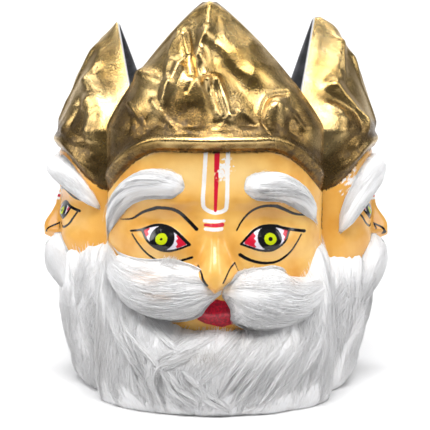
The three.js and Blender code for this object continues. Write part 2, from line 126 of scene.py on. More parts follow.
def whole_point_value(ix, iy, seed):
    """A fixed number from -1 to 1 for each whole-number point, by mixing its bits."""
    h = (ix * 374761393 + iy * 668265263 + seed * 1013904223) & 0xFFFFFFFF
    h = ((h ^ (h >> 13)) * 1274126177) & 0xFFFFFFFF
    return ((h ^ (h >> 16)) & 0xFFFF) / 32767.5 - 1


def noise(x, y, seed):
    """Values at whole-number points, blended across each cell by smooth steps."""
    x, y = np.broadcast_arrays(np.asarray(x, float), np.asarray(y, float))
    ix, iy = np.floor(x).astype(np.int64), np.floor(y).astype(np.int64)
    u, v = smoothstep(x - ix, 0, 1), smoothstep(y - iy, 0, 1)
    low = whole_point_value(ix, iy, seed) * (1 - u) + whole_point_value(ix + 1, iy, seed) * u
    high = whole_point_value(ix, iy + 1, seed) * (1 - u) + whole_point_value(ix + 1, iy + 1, seed) * u
    return low * (1 - v) + high * v


def layered(x, y, seed, layers=3):
    """Sum of noises, each at twice the frequency and half the height of the one before."""
    return sum(noise(x * 2**k, y * 2**k, seed + k) / 2**k for k in range(layers))


def creased(x, y, seed, layers=3):
    """Layered 1 - 2|noise|: flat facets that meet in sharp ridges, as in crumpled foil."""
    return sum((1 - 2 * np.abs(noise(x * 2**k, y * 2**k, seed + k))) / 2**k for k in range(layers))


def curve_through(points, steps=6):
    """Catmull-Rom curve: each stretch leaves and enters its points along their neighbours' chord."""
    p = np.asarray(points, float)
    p = np.vstack([2 * p[0] - p[1], p, 2 * p[-1] - p[-2]])
    t = np.linspace(0, 1, steps, endpoint=False)[:, None]
    a, b, c, d = p[:-3, None], p[1:-2, None], p[2:-1, None], p[3:, None]
    line = 0.5 * (2 * b + (c - a) * t + (2 * a - 5 * b + 4 * c - d) * t**2 + (3 * b - a - 3 * c + d) * t**3)
    return np.vstack([line.reshape(-1, p.shape[1]), p[-2]])


def inside_line(x, z, line, start, end):
    """How far a point lies inside a brush line whose half width goes from start to end: half the width
    less the distance from the nearest place on it."""
    best = np.full(np.shape(x), -FAR)
    count = len(line) - 1
    for k in range(count):
        (ax, az), (bx, bz) = line[k], line[k + 1]
        ux, uz = bx - ax, bz - az
        t = np.clip(((x - ax) * ux + (z - az) * uz) / (ux * ux + uz * uz + 1e-9), 0, 1)
        away = np.hypot(x - ax - t * ux, z - az - t * uz)
        best = np.maximum(best, start + (end - start) * (k + t) / count - away)
    return best


# The castings


def row_height(c, share, level):
    """Height at share of the row that has this level at the middle: rows hang down towards the seams."""
    below = smoothstep(level, CHEEK_Z, c.rim_z)
    above = (c.tip_z - level) / (c.tip_z - c.rim_z)
    droop = np.where(level < c.rim_z, below, above)
    return level - c.rim_drop * droop * smoothstep(np.abs(share), *DROOP_AT)


def section(c, z):
    """Half width, depth and rise of the level section: a sine at the jaw, powers in the leaf."""
    jaw = np.sin(np.pi / 2 * np.clip((z - BOTTOM_Z) / (CHEEK_Z - BOTTOM_Z), 0, 1))
    up = np.clip((z - c.shoulder_z) / (c.tip_z - c.shoulder_z), 0, 1)
    half = c.half * (1 - up ** LEAF_POWERS[0]) ** LEAF_POWERS[1]
    depth = c.depth * (JAW_DEPTH + (1 - JAW_DEPTH) * jaw) * (1 - up) ** c.taper
    return half, depth, up


def bowed(c, up, angle):
    """How far a leaf's edge is pulled inwards: straight down from the tip, then back out, the far edge more
    than the near one."""
    pull = smoothstep(up, 0, BOW_AT) * (1 - up) / (1 - BOW_AT)
    return c.bow * pull * (1 - np.cos(angle)) * (1 - c.skew * c.near_end * np.sin(angle))


def plain_point(c, share, level):
    """The smooth form: half an ellipse at each height, bowed in along the leaf's edges."""
    z = row_height(c, share, level)
    half, depth, up = section(c, z)
    angle = share * np.pi / 2
    inwards = bowed(c, up, angle)
    return np.stack([half * np.sin(angle) + c.tip_shift * up, inwards - depth * np.cos(angle), z], -1)


def unit(v):
    """Vectors with the same directions and length 1."""
    return v / (np.linalg.norm(v, axis=-1, keepdims=True) + 1e-12)


def outwards(c, share, level):
    """Unit normal of the smooth form, from differences along and across it."""
    low = np.minimum(level, c.tip_z - 3 * TIP_CUT)
    across = plain_point(c, share + 0.02, low) - plain_point(c, share - 0.02, low)
    up = plain_point(c, share, low + 1) - plain_point(c, share, low - 1)
    return unit(np.cross(across, up))


def face_height(c, z):
    """The height on this casting's face of a height on the front casting's face."""
    return c.rim_z - (FRONT.rim_z - z) * c.face


def feature_place(c, x, z):
    """A point's place in the front casting's own x and z, where the features are described."""
    span = (FRONT.tip_z - FRONT.rim_z) / (c.tip_z - c.rim_z)
    above = z - c.rim_z
    return x * SEAM_HALF / c.half, FRONT.rim_z + np.where(above > 0, above * span, above / c.face)


def quarter_arc(half, depth):
    """Length of a quarter of an ellipse, near enough: that of a circle with their quadratic mean."""
    return np.pi / 2 * np.hypot(half, depth) / np.sqrt(2)


def edge_distance(c, share, level):
    """Distance along the form from the casting's edge."""
    half, depth, _ = section(c, row_height(c, share, level))
    return (1 - np.abs(share)) * quarter_arc(half, depth)


FLESH = 2.5
# The nose: its height, the heights of its root, middle and tip, where it ends below, half width and its
# growth
NOSE_HEIGHT = 23.5
NOSE_ROOT, NOSE_MIDDLE, NOSE_TIP = 186, 162, 127
NOSE_UNDER = (105, 117)
NOSE_HALF = (6, 5.5)
NOSE_WINGS = ((13, 123, 6, 6.5, 7.5),)
NOSE_HOLLOW = (0, 138, 10, 20, 9)
# Forms of the face on both sides of its middle: place, radii, height
FACE_HILLS = (
    (44, 169, 24, 11, -3.5),
    (44, 192, 34, 9, 4),
    (47, 153, 21, 11, 5),
    (56, 118, 24, 20, 5),
    (0, 90, 19, 9, 7),
    (0, 60, 20, 14, 5),
)
# Broad ridges and grooves of each crown, with x growing towards the near end: ends, half width, height
CROWN_RIDGES = {
    "front": (
        ((-5, 363), (-8, 331), 6, 3),
        ((-8, 331), (-13, 312), 5, 4),
        ((-13, 312), (-6, 292), 6, 5),
        ((-6, 290), (2, 264), 4, 4),
        ((2, 294), (12, 262), 4, 3.5),
        ((-43, 276), (-30, 306), 4.5, 4),
        ((-25, 334), (-20, 300), 4, -4),
        ((-74, 300), (-42, 289), 7, 4),
        ((-2, 330), (34, 299), 10, 2),
        ((34, 299), (68, 283), 10, 2.5),
        ((4, 312), (34, 272), 10, -2.5),
    ),
    "left": (
        ((42, 314), (78, 287), 6, -4),
        ((34, 304), (80, 274), 7, 4),
        ((52, 280), (88, 242), 7, -5),
        ((50, 250), (90, 246), 6, 3),
        ((-60, 300), (-20, 262), 8, 3),
        ((-10, 334), (-44, 268), 8, -3),
        ((10, 334), (4, 262), 7, 3),
    ),
    "right": (
        ((18, 338), (60, 296), 6, 4),
        ((60, 296), (56, 270), 6, 4),
        ((74, 292), (62, 268), 6, -4),
        ((62, 268), (90, 240), 8, -5),
        ((52, 262), (78, 240), 6, 3),
        ((-60, 296), (-16, 262), 8, 3),
        ((-6, 336), (-40, 256), 8, -3),
        ((10, 322), (2, 258), 7, 3),
    ),
}
# Hollows and bosses of each crown: place, radii, height
CROWN_HILLS = {
    "front": (
        (-19, 264, 14, 17, -5),
        (30, 256, 11, 9, -4),
        (-58, 255, 13, 13, -5),
        (-82, 256, 9, 16, -5),
        (52, 268, 10, 10, 5),
        (69, 254, 10, 13, -5),
        (-5, 292, 5, 5, 2.4),
        (-2, 289, 2, 1.5, -2),
        (50, 272, 6, 6, 2.6),
        (-30, 311, 2.5, 2, -2.2),
    ),
    "left": ((58, 281, 9, 8, 4), (68, 262, 11, 10, -4), (-40, 270, 14, 12, -3)),
    "right": ((66, 254, 11, 10, -4), (54, 262, 7, 7, 3), (-44, 272, 14, 12, -3)),
}
# Sharp creases of the foil on each crown: points, half width, height
CROWN_CREASES = {
    "front": (
        (((-4, 362), (-5, 348), (-6, 333), (-12, 323)), 5, 1.6),
        (((-24, 334), (-22, 323), (-20, 313), (-17, 299), (-24, 284)), 3.5, -1.6),
        (((-31, 334), (-37, 322), (-38, 313), (-29, 309), (-22, 316)), 3, 1.0),
        (((-38, 308), (-40, 298), (-36, 289)), 4, 1.8),
        (((-29, 305), (-35, 291), (-42, 276)), 3.5, 1.8),
        (((-13, 312), (-15, 302), (-9, 293), (-4, 292)), 4, 1.2),
        (((-8, 289), (-4, 278), (2, 264)), 3.5, 1.2),
        (((2, 294), (8, 281), (12, 264)), 3.5, 1.2),
        (((-2, 286), (3, 274), (7, 262)), 3, -0.9),
        (((-2, 326), (8, 318), (18, 304), (30, 296)), 5, 0.9),
        (((60, 280), (46, 278), (40, 265), (43, 252), (52, 245)), 3, -3.0),
        (((-75, 272), (-66, 262), (-60, 252)), 3.5, 2.2),
        (((-52, 274), (-44, 262), (-30, 249)), 4, 1.6),
        (((14, 262), (24, 266), (34, 258)), 3.5, 1.5),
        (((62, 266), (70, 262), (77, 252)), 3.5, 1.8),
    ),
    "left": (
        (((42, 312), (52, 305), (64, 300), (78, 287)), 4, -1.8),
        (((38, 302), (52, 296), (66, 290), (80, 276)), 4, 1.6),
        (((76, 274), (88, 260), (92, 244)), 4, -2.2),
        (((52, 280), (64, 268), (80, 254), (88, 242)), 4, -1.8),
        (((58, 248), (72, 244), (86, 246)), 4, 1.6),
        (((-60, 300), (-38, 282), (-20, 262)), 5, 1.4),
        (((-10, 334), (-20, 306), (-44, 268)), 5, -1.4),
        (((10, 330), (14, 300), (4, 262)), 5, 1.4),
    ),
    "right": (
        (((48, 306), (60, 298), (60, 286), (56, 270)), 4, 1.8),
        (((74, 290), (80, 281), (80, 272), (62, 268)), 4, -2.2),
        (((62, 268), (76, 254), (90, 240)), 4, -1.8),
        (((54, 268), (52, 258), (62, 246), (78, 240)), 5, 2.0),
        (((18, 336), (30, 322), (42, 306)), 4, 1.6),
        (((-60, 296), (-40, 286), (-16, 262)), 5, 1.4),
        (((-6, 336), (-18, 300), (-40, 256)), 5, -1.4),
        (((10, 320), (16, 296), (2, 258)), 5, 1.4),
    ),
}


def hills(x, z, forms):
    """Sum of hills, each given by its place, radii and height."""
    return sum(height * hill(x - cx, z - cz, rx, rz) for cx, cz, rx, rz, height in forms)


def face_forms(x, z):
    """Sum of the nose, its wings and the face's hills, mirrored about the middle."""
    side = np.abs(x)
    to_tip = smoothstep(-z, -NOSE_MIDDLE, -NOSE_TIP)
    bridge = 0.3 * smoothstep(-z, -NOSE_ROOT, -NOSE_MIDDLE) + 0.7 * to_tip
    under = smoothstep(z - 0.7 * side, *NOSE_UNDER)
    nose = NOSE_HEIGHT * bridge * under * np.exp(-((side / (NOSE_HALF[0] + NOSE_HALF[1] * to_tip)) ** 2.4))
    return nose + hills(side, z, NOSE_WINGS) + FLESH + hills(side, z, FACE_HILLS)


def off_form(c, forms, from_edge):
    """How far the surface stands off the smooth form: its forms, which fade out at the edge, and the
    edge's bead."""
    return c.face * forms * smoothstep(from_edge, *c.border) + c.bead * bell(from_edge, BEAD_WIDTH)


# A crease is this much wider than its width says, and this much of it is left at its end
CREASE_WIDEN, CREASE_END = 1.35, 0.7


def crease_forms(x, z, creases):
    """Each crease is a ridge or groove along a curve: its height times a smooth step, from 0 at its edge to
    nearly 1 at its middle, and it narrows towards its end."""
    total = np.zeros_like(x)
    for points, width, height in creases:
        wide = CREASE_WIDEN * width
        inside = inside_line(x, z, curve_through(points, 4), wide, wide * CREASE_END)
        total += height * smoothstep(inside / wide, 0, 1.1)
    return total


# The pleats' middle, the direction along them, and their height
PLEATS_X, PLEATS_Z = -74, 300
PLEATS_COS, PLEATS_SIN = 0.95, 0.33
PLEAT_HEIGHT = 0.9


def pleats(x, z):
    """Fine parallel pleats at the left of the front crown: |sin| across them, inside a patch."""
    along = (x - PLEATS_X) * PLEATS_COS - (z - PLEATS_Z) * PLEATS_SIN
    across = (x - PLEATS_X) * PLEATS_SIN + (z - PLEATS_Z) * PLEATS_COS
    patch = smoothstep(along, 2, 12) * smoothstep(-along, -38, -28) * bell(across, 9)
    return patch * np.abs(np.sin(across * 1.15 + 0.25 * noise(x / 9, z / 9, 40)))


# Height of the foil over the paper, of its body and of the body's middle over its edges
FOIL_LEAST, BODY_LEAST, BODY_SWELL = 1.5, 1.5, 4
# The border along the leaf's edge: distance from the edge, width, height
BORDER = (8, 5, 2.5)
# The roll round the rim: where it ends above, width, least height, and how it swells away from the seam
ROLL_TOP, ROLL_WIDTH, ROLL_LEAST, ROLL_SWELL, ROLL_ENDS = 22, 5, 1.5, 3.5, (8, 40)


def crown_forms(c, from_edge, share, level, x, z, crumple):
    """Foil over the crown: a body, a border, the roll round the rim, ridges, creases and crumples."""
    above = level - c.rim_z
    inside = smoothstep(from_edge, 8, 20) * smoothstep(above, 14, 24)
    near = x * c.near_end
    carving = sum(
        height * bell(inside_line(near, z, (start, end), 0, 0), width)
        for start, end, width, height in CROWN_RIDGES[c.name]
    )
    carving += hills(near, z, CROWN_HILLS[c.name]) + crease_forms(near, z, CROWN_CREASES[c.name])
    if c is FRONT:
        carving += PLEAT_HEIGHT * pleats(x, z)
    warp = 9 * noise(x / 31, z / 31, c.seed + 20)
    facets = creased((x + warp) / 46, (z + warp) / 58, c.seed, 2) - 0.5
    body = BODY_LEAST + BODY_SWELL * (1 - share**4)
    border = BORDER[2] * bell(from_edge - BORDER[0], BORDER[1]) * smoothstep(above, 10, 24)
    roll = ROLL_LEAST + ROLL_SWELL * smoothstep(from_edge, *ROLL_ENDS)
    roll = roll * bell(above - ROLL_TOP / 2, ROLL_WIDTH)
    wrinkles = 0.3 * noise(share * 14, above * 0.4, c.seed + 7)
    wrinkles *= smoothstep(above, 3, 8) * smoothstep(-above, -26, -18)
    foil = smoothstep(above, 0, 5)
    rolled = foil * (body + border + roll + wrinkles + inside * (carving + crumple * facets))
    return np.maximum(FOIL_LEAST, rolled), inside, carving


# Where the foil is brown on each crown, partly browned foil and partly painted shade, with x growing towards
# the near end: place, radii, amount
TARNISH_AND_PAINTED_SHADE = {
    "front": (
        (-78, 256, 17, 26, 1.1),
        (-30, 264, 30, 15, 0.9),
        (64, 258, 26, 20, 1.0),
        (18, 262, 12, 8, 0.5),
        (8, 282, 9, 14, 0.35),
        (-42, 294, 8, 10, 0.5),
        (36, 300, 20, 12, 0.3),
        (30, 256, 12, 8, 0.4),
    ),
    "left": ((74, 254, 20, 12, 0.8), (-30, 256, 40, 10, 0.6), (60, 300, 14, 6, 0.4)),
    "right": ((74, 254, 18, 12, 0.8), (-30, 256, 40, 10, 0.6), (68, 284, 8, 14, 0.5)),
}
# Painted shade, as brown foil, in the valley above the roll: height over the rim, width, amount, and where it
# is cut off below
VALLEY_AT, VALLEY_WIDTH, VALLEY_PAINTED_SHADE, VALLEY_CUT = 19, 7, 1.5, (12.5, 15.5)
# Brown foil on the roll: amounts towards its ends, and on its underside, where it is painted shade
ROLL_END_BROWN, ROLL_UNDER_PAINTED_SHADE = 0.95, 0.9
SEAM_BROWN = 0.9


def tarnish_and_painted_shade(c, x, z, above, from_edge, carving):
    """How brown the foil is, partly browned foil and partly painted shade: in broad patches, as painted shade
    in the valley above the roll, in every groove and on the roll's underside, and along the front casting's
    seams and at the roll's ends."""
    patchy = 0.75 + 0.4 * layered(x / 13, z / 9, c.seed + 60, 3)
    brown = hills(x * c.near_end, z, TARNISH_AND_PAINTED_SHADE[c.name]) + VALLEY_PAINTED_SHADE * bell(above - VALLEY_AT, VALLEY_WIDTH)
    seam = SEAM_BROWN * smoothstep(-from_edge, -12, -3) if c is FRONT else 0
    # Painted shade: every groove is browner
    crown = np.clip(brown * patchy + seam - carving / 16, 0, 1) * smoothstep(above, *VALLEY_CUT)
    roll = ROLL_END_BROWN * smoothstep(np.abs(x), 34, 74) + ROLL_UNDER_PAINTED_SHADE * smoothstep(-above, -11, -6)
    return np.where(above < 18, np.maximum(crown, roll * patchy), crown)


def skin_flakes(c, x, z):
    """White flakes of primer where the paint has come off, near the front edge of the right face only."""
    if c.name != "right":
        return np.full_like(x, -1.0)
    near = x * c.near_end
    worn = hill(near - 80, z - 196, 12, 24) * (0.35 + layered(x / 1.7, z / 1.7, 63, 2))
    return 2 * (worn - 0.42)


# Painted shade and painted highlight on the faces: the paint is darker over the eyes and beside the nose, as
# painted shade, and lighter on the forehead and the cheeks, as painted highlight
FACE_SHADE_AND_HIGHLIGHT = (
    (38, 182, 26, 8, 0.8),
    (15, 140, 5, 18, 0.7),
    (22, 212, 26, 15, -0.9),
    (55, 140, 22, 8, -0.5),
)
# Painted shade: the side faces are painted darker all over
SIDE_FACE_SHADE = 0.55
# How much wider the ink lies on the side faces
SIDE_INK = 0.45
# The side leaves' paper edge is bare this high above the rim, and this wide. Elsewhere its depth is the
# last one
RAW_ABOVE, RAW_WIDTH, RAW_NONE = 12, 1.3, -5
# Where the paper is wrinkled over the eyes
BROW_WRINKLES = ((46, 186, 30, 12, 1),)


def casting_surface(c, sizes):
    """Outer face: the smooth form pushed out along its normals by face or foil. Gives the points and the
    fields that the materials read: places and depths that are the same for every view."""
    u = np.linspace(-1, 1, c.columns)
    levels = np.linspace(BOTTOM_Z, c.tip_z - TIP_CUT, c.rows)
    share, level = np.meshgrid(u * (0.72 + 0.28 * u * u), levels)
    base = plain_point(c, share, level)
    x, z = feature_place(c, base[..., 0], base[..., 2])
    from_edge = edge_distance(c, share, level)
    crown, inside, carving = crown_forms(c, from_edge, share, level, x, z, sizes.foil_crumple / MM)
    paper = sizes.paper_waves / MM * layered(x / 17, z / 17, c.seed + 30, 3)
    paper += 0.5 * hills(np.abs(x), z, BROW_WRINKLES) * noise(x / 14 + z / 30, z / 3.4, c.seed + 33)
    forms = np.where(level > c.rim_z, crown, face_forms(x, z) + paper)
    points = base + outwards(c, share, level) * off_form(c, forms, from_edge)[..., None]
    above = level - c.rim_z
    aside = c is not FRONT
    fields = paint_fields(x, z)
    fields["paint"][..., 0] += SIDE_INK * aside
    fields["crown"] = np.stack([above, from_edge, tarnish_and_painted_shade(c, x, z, above, from_edge, carving * inside)], -1)
    raw = np.where(aside & (above > RAW_ABOVE), RAW_WIDTH - from_edge, RAW_NONE)
    # Painted shade over the eyes, beside the nose and on the side faces, and painted highlight on the
    # forehead and the cheeks, stored beside the flakes and the bare edge
    shade_and_highlight = hills(np.abs(x), z, FACE_SHADE_AND_HIGHLIGHT) + SIDE_FACE_SHADE * aside
    fields["wear"] = np.stack([skin_flakes(c, x, z), shade_and_highlight, raw], -1)
    return points, share, level, fields


def inner_surface(c, share, level, wall):
    """Inner face: the smooth form moved in by the wall, with a shallow hollow behind the nose."""
    base = plain_point(c, share, level)
    x, z = feature_place(c, base[..., 0], base[..., 2])
    lift = c.face * hills(x, z, (NOSE_HOLLOW,)) - wall
    lift += 0.35 * layered(x / 11, z / 11, c.seed + 50, 3)
    return base + outwards(c, share, level) * lift[..., None]


# Painting, in the front casting's x and z: brush lines with their half widths at both ends
BROW_LINES = (
    (((-84, 169.7), (-73, 171.8), (-63, 178.5), (-50, 183.4)), 0.5, 1.6),
    (((-50, 183.4), (-39, 183.2), (-31, 180), (-24, 173.5), (-16, 165.2)), 1.6, 1.7),
    (((84, 174.2), (77, 174.6), (69, 176.8), (61, 181), (53, 184.8)), 0.7, 1.6),
    (((53, 184.8), (43.5, 185.4), (36, 183.4), (29.4, 179), (23, 171.3), (19, 164)), 1.5, 0.7),
)
# The lids of both eyes, each from left to right, and the lines of the bags under them
UPPER_LIDS = (
    (
        (-73.7, 160.6), (-64.5, 162.6), (-56.5, 166.2), (-48.6, 167.6),
        (-39.3, 165.7), (-31.5, 160.8), (-22, 151.6),
    ),
    ((22.5, 152.2), (28.1, 158.4), (34.6, 164), (42.4, 166.8), (53, 166.8), (62.3, 163.8), (78.7, 159.8)),
)
LOWER_LIDS = (
    (
        (-63.2, 161.6), (-59.1, 155.7), (-53.7, 150.3), (-47.1, 146.4),
        (-39.3, 145.4), (-30.2, 147.8), (-22, 151.4),
    ),
    ((22.5, 152.2), (29.4, 149.4), (38.5, 146.2), (47.7, 145.5), (54.2, 148.2), (60.2, 153.2), (64.3, 161)),
)
LEFT_BAG = (
    (-72.4, 158.1), (-67, 151.5), (-59, 142.5), (-51, 137.4), (-42, 134.8), (-31.6, 136.4), (-19.6, 140.2)
)
RIGHT_BAG = (
    (75.9, 157.4), (70.4, 149.3), (63.7, 141.2), (54.3, 135.5),
    (45.2, 134.3), (36, 135.6), (28, 138.6), (21.7, 142.6),
)
NOSTRIL_LINES = (
    (((-14.3, 134), (-10.6, 128.4), (-8.7, 123), (-6.1, 119.4)), 0.7, 1.3),
    (((-14.6, 132.4), (-16, 126.3)), 0.4, 0.4),
    (((6.2, 121.2), (11.1, 129.8), (17.1, 135.4)), 0.6, 0.9),
    (((17.1, 135.4), (20.9, 126.9)), 0.6, 0.4),
)
INK_LINES = (
    *BROW_LINES,
    (LEFT_BAG, 0.8, 1.1),
    (RIGHT_BAG, 0.7, 1.6),
    *NOSTRIL_LINES,
    *((lid, 1.0, 1.5) for lid in UPPER_LIDS),
    *((lid, 1.1, 1.0) for lid in LOWER_LIDS),
)
# Irises: middle, radius, and the radii of the light ring and of the pupil in it
IRISES = ((-45, 156.8, 10.6, 5.0, 1.2), (46.8, 156.8, 10.4, 5.2, 1.9))
# Red in the corners of the eyes: from where to where, away from the iris's middle
BLOOD_INNER, BLOOD_OUTER = (11.6, 21.5), (11.8, 17.5)
MARK_LOOP = (
    (-7.6, 236), (-9.4, 206), (-10.2, 190), (-8.4, 183.6), (-0.4, 180.2),
    (8.4, 182.2), (10.2, 188), (10.8, 206), (11.4, 236),
)
CHALK_LINES = (
    (MARK_LOOP, 1.75, 1.75),
    (((-9, 172.8), (8, 172.8)), 1.6, 1.3),
    (((-8, 165.8), (5.6, 166)), 1.6, 1.7),
)
RED_STRIPE = (((2, 236), (1.2, 205), (0.4, 182)), 2.5, 1.3)
RED_BAR = (((-8.6, 169.2), (6.4, 169.6)), 1.2, 1.9)
# The lips: their lower edge, their top, and their half width about their middle
SMILE = ((-14.5, -8.3, 6.2, 15.3, 18.6), (84.2, 80.9, 77.2, 79.8, 83.1))
LIPS_TOP, LIPS_HALF, LIPS_MIDDLE = 103, 17, 2


def brushed(x, z, lines):
    """How far a point lies inside any of several curved brush lines."""
    return np.maximum.reduce([inside_line(x, z, curve_through(points, 4), *ends) for points, *ends in lines])


def eye_fields(x, z):
    """The white of both eyes lies between the lids. The iris is a disc, its light ring lies round the
    pupil, and short red strokes point at it from both corners."""
    white, disc, ring, blood = (np.full_like(x, -FAR) for _ in range(4))
    for upper, lower, (cx, cz, radius, light, pupil) in zip(UPPER_LIDS, LOWER_LIDS, IRISES):
        top, bottom = curve_through(upper), curve_through(lower)
        inside = np.minimum(
            np.interp(x, top[:, 0], top[:, 1], left=-FAR, right=-FAR) - z,
            z - np.interp(x, bottom[:, 0], bottom[:, 1], left=FAR, right=FAR),
        )
        white = np.maximum(white, inside)
        away = np.hypot(x - cx, z - cz)
        disc = np.maximum(disc, radius - away)
        off = np.hypot(x - cx - 0.4 * np.sign(cx), z - cz + 0.9)
        ring = np.maximum(ring, np.minimum(light - off, off - pupil))
        inwards = (cx - x) * np.sign(cx)
        strokes = 1.8 * np.abs(((z - cz) / 2.4) % 2 - 1)
        for way, (near, far) in ((inwards, BLOOD_INNER), (-inwards, BLOOD_OUTER)):
            blood = np.maximum(blood, np.minimum.reduce([way - near - strokes, far - way, inside - 1.2]))
    return white, disc, ring, blood


def paint_fields(x, z):
    """How far each point lies inside each colour: ink, red, white, eye white, iris ring and iris."""
    white, disc, ring, blood = eye_fields(x, z)
    ink = np.maximum(disc, brushed(x, z, INK_LINES))
    worn = hill(x - 5, z - 214, 6, 7) * (0.6 + 0.8 * noise(x / 1.3, z / 1.3, 61)) - 0.45
    flakes = hill(x - 9, z - 222, 9, 9) * (0.5 + noise(x / 1.6, z / 1.6, 62)) - 0.5
    chalk = np.maximum(brushed(x, z, CHALK_LINES), 2 * np.maximum(worn, flakes))
    stripe = np.minimum(inside_line(x, z, *RED_STRIPE), -2.5 * worn)
    aside = np.abs(x - LIPS_MIDDLE)
    lips = np.minimum.reduce([z - np.interp(x, *SMILE), LIPS_TOP - z - 0.25 * aside, LIPS_HALF - aside])
    rouge = np.maximum.reduce([stripe, blood, inside_line(x, z, *RED_BAR), lips])
    return {"paint": np.stack([ink, rouge, chalk], -1), "eyes": np.stack([white, ring, disc], -1)}


# Meshes


def to_world(c, points):
    """Turns a casting's points about the vertical and moves them to its place on the mask."""
    cos, sin = np.cos(c.turn), np.sin(c.turn)
    x, y, z = points[..., 0], points[..., 1], points[..., 2]
    return np.stack([c.x + cos * x - sin * y, c.y + sin * x + cos * y, z], -1)


class Parts:
    """Collects points, faces, place on the surface and fields of one mesh, and makes it in one go."""

    def __init__(self):
        self.points, self.faces, self.uvs, self.materials, self.smooth = [], [], [], [], []
        self.fields = {}
        self.count = 0

    def add(self, points, uv, fields=None):
        """Adds an array of points and gives the index of each, in the array's own shape."""
        shape = points.shape[:-1]
        size = int(np.prod(shape))
        given = fields or {}
        for name in {**self.fields, **given}:
            kept = self.fields.setdefault(name, [np.zeros((self.count, 3))] if self.count else [])
            kept.append(given[name].reshape(-1, 3) if name in given else np.zeros((size, 3)))
        self.points.append(points.reshape(-1, 3))
        self.uvs.append(np.broadcast_to(uv, (*shape, 2)).reshape(-1, 2))
        index = np.arange(self.count, self.count + size).reshape(shape)
        self.count += size
        return index

    def join(self, corners, material=0, smooth=True):
        """Adds faces from an array whose last axis holds 3 or 4 corners."""
        corners = corners.reshape(-1, corners.shape[-1])
        self.faces.append(corners)
        self.materials.append(np.full(len(corners), material))
        self.smooth.append(np.full(len(corners), smooth))

    def sheet(self, index, flip=False, material=0):
        """Adds the quads between neighbouring rows and columns."""
        a, b, c, d = index[:-1, :-1], index[:-1, 1:], index[1:, 1:], index[1:, :-1]
        quads = np.stack([a, d, c, b] if flip else [a, b, c, d], -1)
        self.join(quads, material)

    def hem(self, outer, inner, material=0):
        """Joins the border of a sheet to the border of a coarser one that lies behind it."""
        rim, hem = border_loop(outer), border_loop(inner)
        here = np.arange(len(rim) - 1)
        near = nearest_of(outer.shape, inner.shape)
        a, b = near[here], near[here + 1]
        self.join(np.stack([rim[here], hem[a], rim[here + 1]], -1), material)
        turn = a != b
        self.join(np.stack([rim[here + 1], hem[a], hem[b]], -1)[turn], material)

    def make(self, name, materials):
        """Writes everything into a new mesh object at the origin."""
        mesh = bpy.data.meshes.new(name)
        points = np.concatenate(self.points) * MM
        sizes = np.concatenate([np.full(len(f), f.shape[1]) for f in self.faces])
        loops = np.concatenate([f.ravel() for f in self.faces])
        mesh.vertices.add(len(points))
        mesh.vertices.foreach_set("co", points.astype(np.float32).ravel())
        mesh.loops.add(len(loops))
        mesh.loops.foreach_set("vertex_index", loops.astype(np.int32))
        mesh.polygons.add(len(sizes))
        for key, values in (
            ("loop_start", np.concatenate([[0], np.cumsum(sizes)[:-1]])),
            ("loop_total", sizes),
            ("material_index", np.concatenate(self.materials)),
        ):
            mesh.polygons.foreach_set(key, values.astype(np.int32))
        mesh.polygons.foreach_set("use_smooth", np.concatenate(self.smooth))
        layer = mesh.uv_layers.new(name="surface")
        layer.data.foreach_set("uv", np.concatenate(self.uvs)[loops].astype(np.float32).ravel())
        for field, values in self.fields.items():
            attribute = mesh.attributes.new(field, "FLOAT_VECTOR", "POINT")
            attribute.data.foreach_set("vector", np.concatenate(values).astype(np.float32).ravel())
        mesh.update(calc_edges=True)
        mesh.validate()
        for material in materials:
            mesh.materials.append(material)
        piece = bpy.data.objects.new(name, mesh)
        bpy.context.scene.collection.objects.link(piece)
        return piece


def border_loop(index):
    """The border of a sheet, once round from its first corner back to it."""
    return np.concatenate([index[0, :-1], index[:-1, -1], index[-1, :0:-1], index[:0:-1, 0], index[:1, 0]])


def nearest_of(outer_shape, inner_shape):
    """For each place on the outer border, the place on the inner border that stands beside it."""
    rows, cols = outer_shape[0] - 1, outer_shape[1] - 1
    inner_rows, inner_cols = inner_shape[0] - 1, inner_shape[1] - 1
    sides, start = [], 0
    for count, inner in ((cols, inner_cols), (rows, inner_rows), (cols, inner_cols), (rows, inner_rows)):
        sides.append(start + np.rint(np.arange(count) * inner / count).astype(int))
        start += inner
    return np.concatenate([*sides, [start]])


def thinned(shape, step):
    """Rows and columns of a coarser sheet: every few of the finer one's, and its last."""
    return np.ix_(*(np.unique(np.append(np.arange(0, count, step), count - 1)) for count in shape))


def finished(piece, node):
    """Ties a finished piece to the frame: it rides on the mask and stands for one solid."""
    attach(piece, "root")
    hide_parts(node)
    return piece


# The inner side of a casting, and the back of a piece of wool, have every few of the outer side's rows
CASTING_STEP, WOOL_STEP = 4, 5


def make_casting(c, sizes):
    """A casting: fine outer face, coarser inner face, and the cut edge of the paper between them."""
    outer, share, level, fields = casting_surface(c, sizes)
    pick = thinned(share.shape, CASTING_STEP)
    inner = inner_surface(c, share[pick], level[pick], sizes.wall / MM)
    parts = Parts()
    uv = np.stack([share * c.half, level], -1)
    front = parts.add(to_world(c, outer), uv, fields)
    back = parts.add(to_world(c, inner), uv[pick])
    parts.sheet(front)
    parts.sheet(back, flip=True, material=1)
    parts.hem(front, back, material=2)
    materials = [painted_paper(), bare_paper(), cut_paper()]
    piece = parts.make(f"{c.name}_casting", materials)
    return finished(piece, f"{c.name}_mask")


# Wool


FORMS_UNDER_WOOL = 12


def face_relief(c, share, z):
    """How far the painted face stands off the smooth form at a height, beside and below it too. Its highest
    forms count as lower, for the wool lies round them."""
    held = np.clip(share, -1, 1)
    level = np.maximum(z, BOTTOM_Z)
    half, _, _ = section(c, level)
    x, place = feature_place(c, half * np.sin(held * np.pi / 2), level)
    forms = np.minimum(face_forms(x, place), FORMS_UNDER_WOOL)
    return off_form(c, forms, edge_distance(c, held, level))


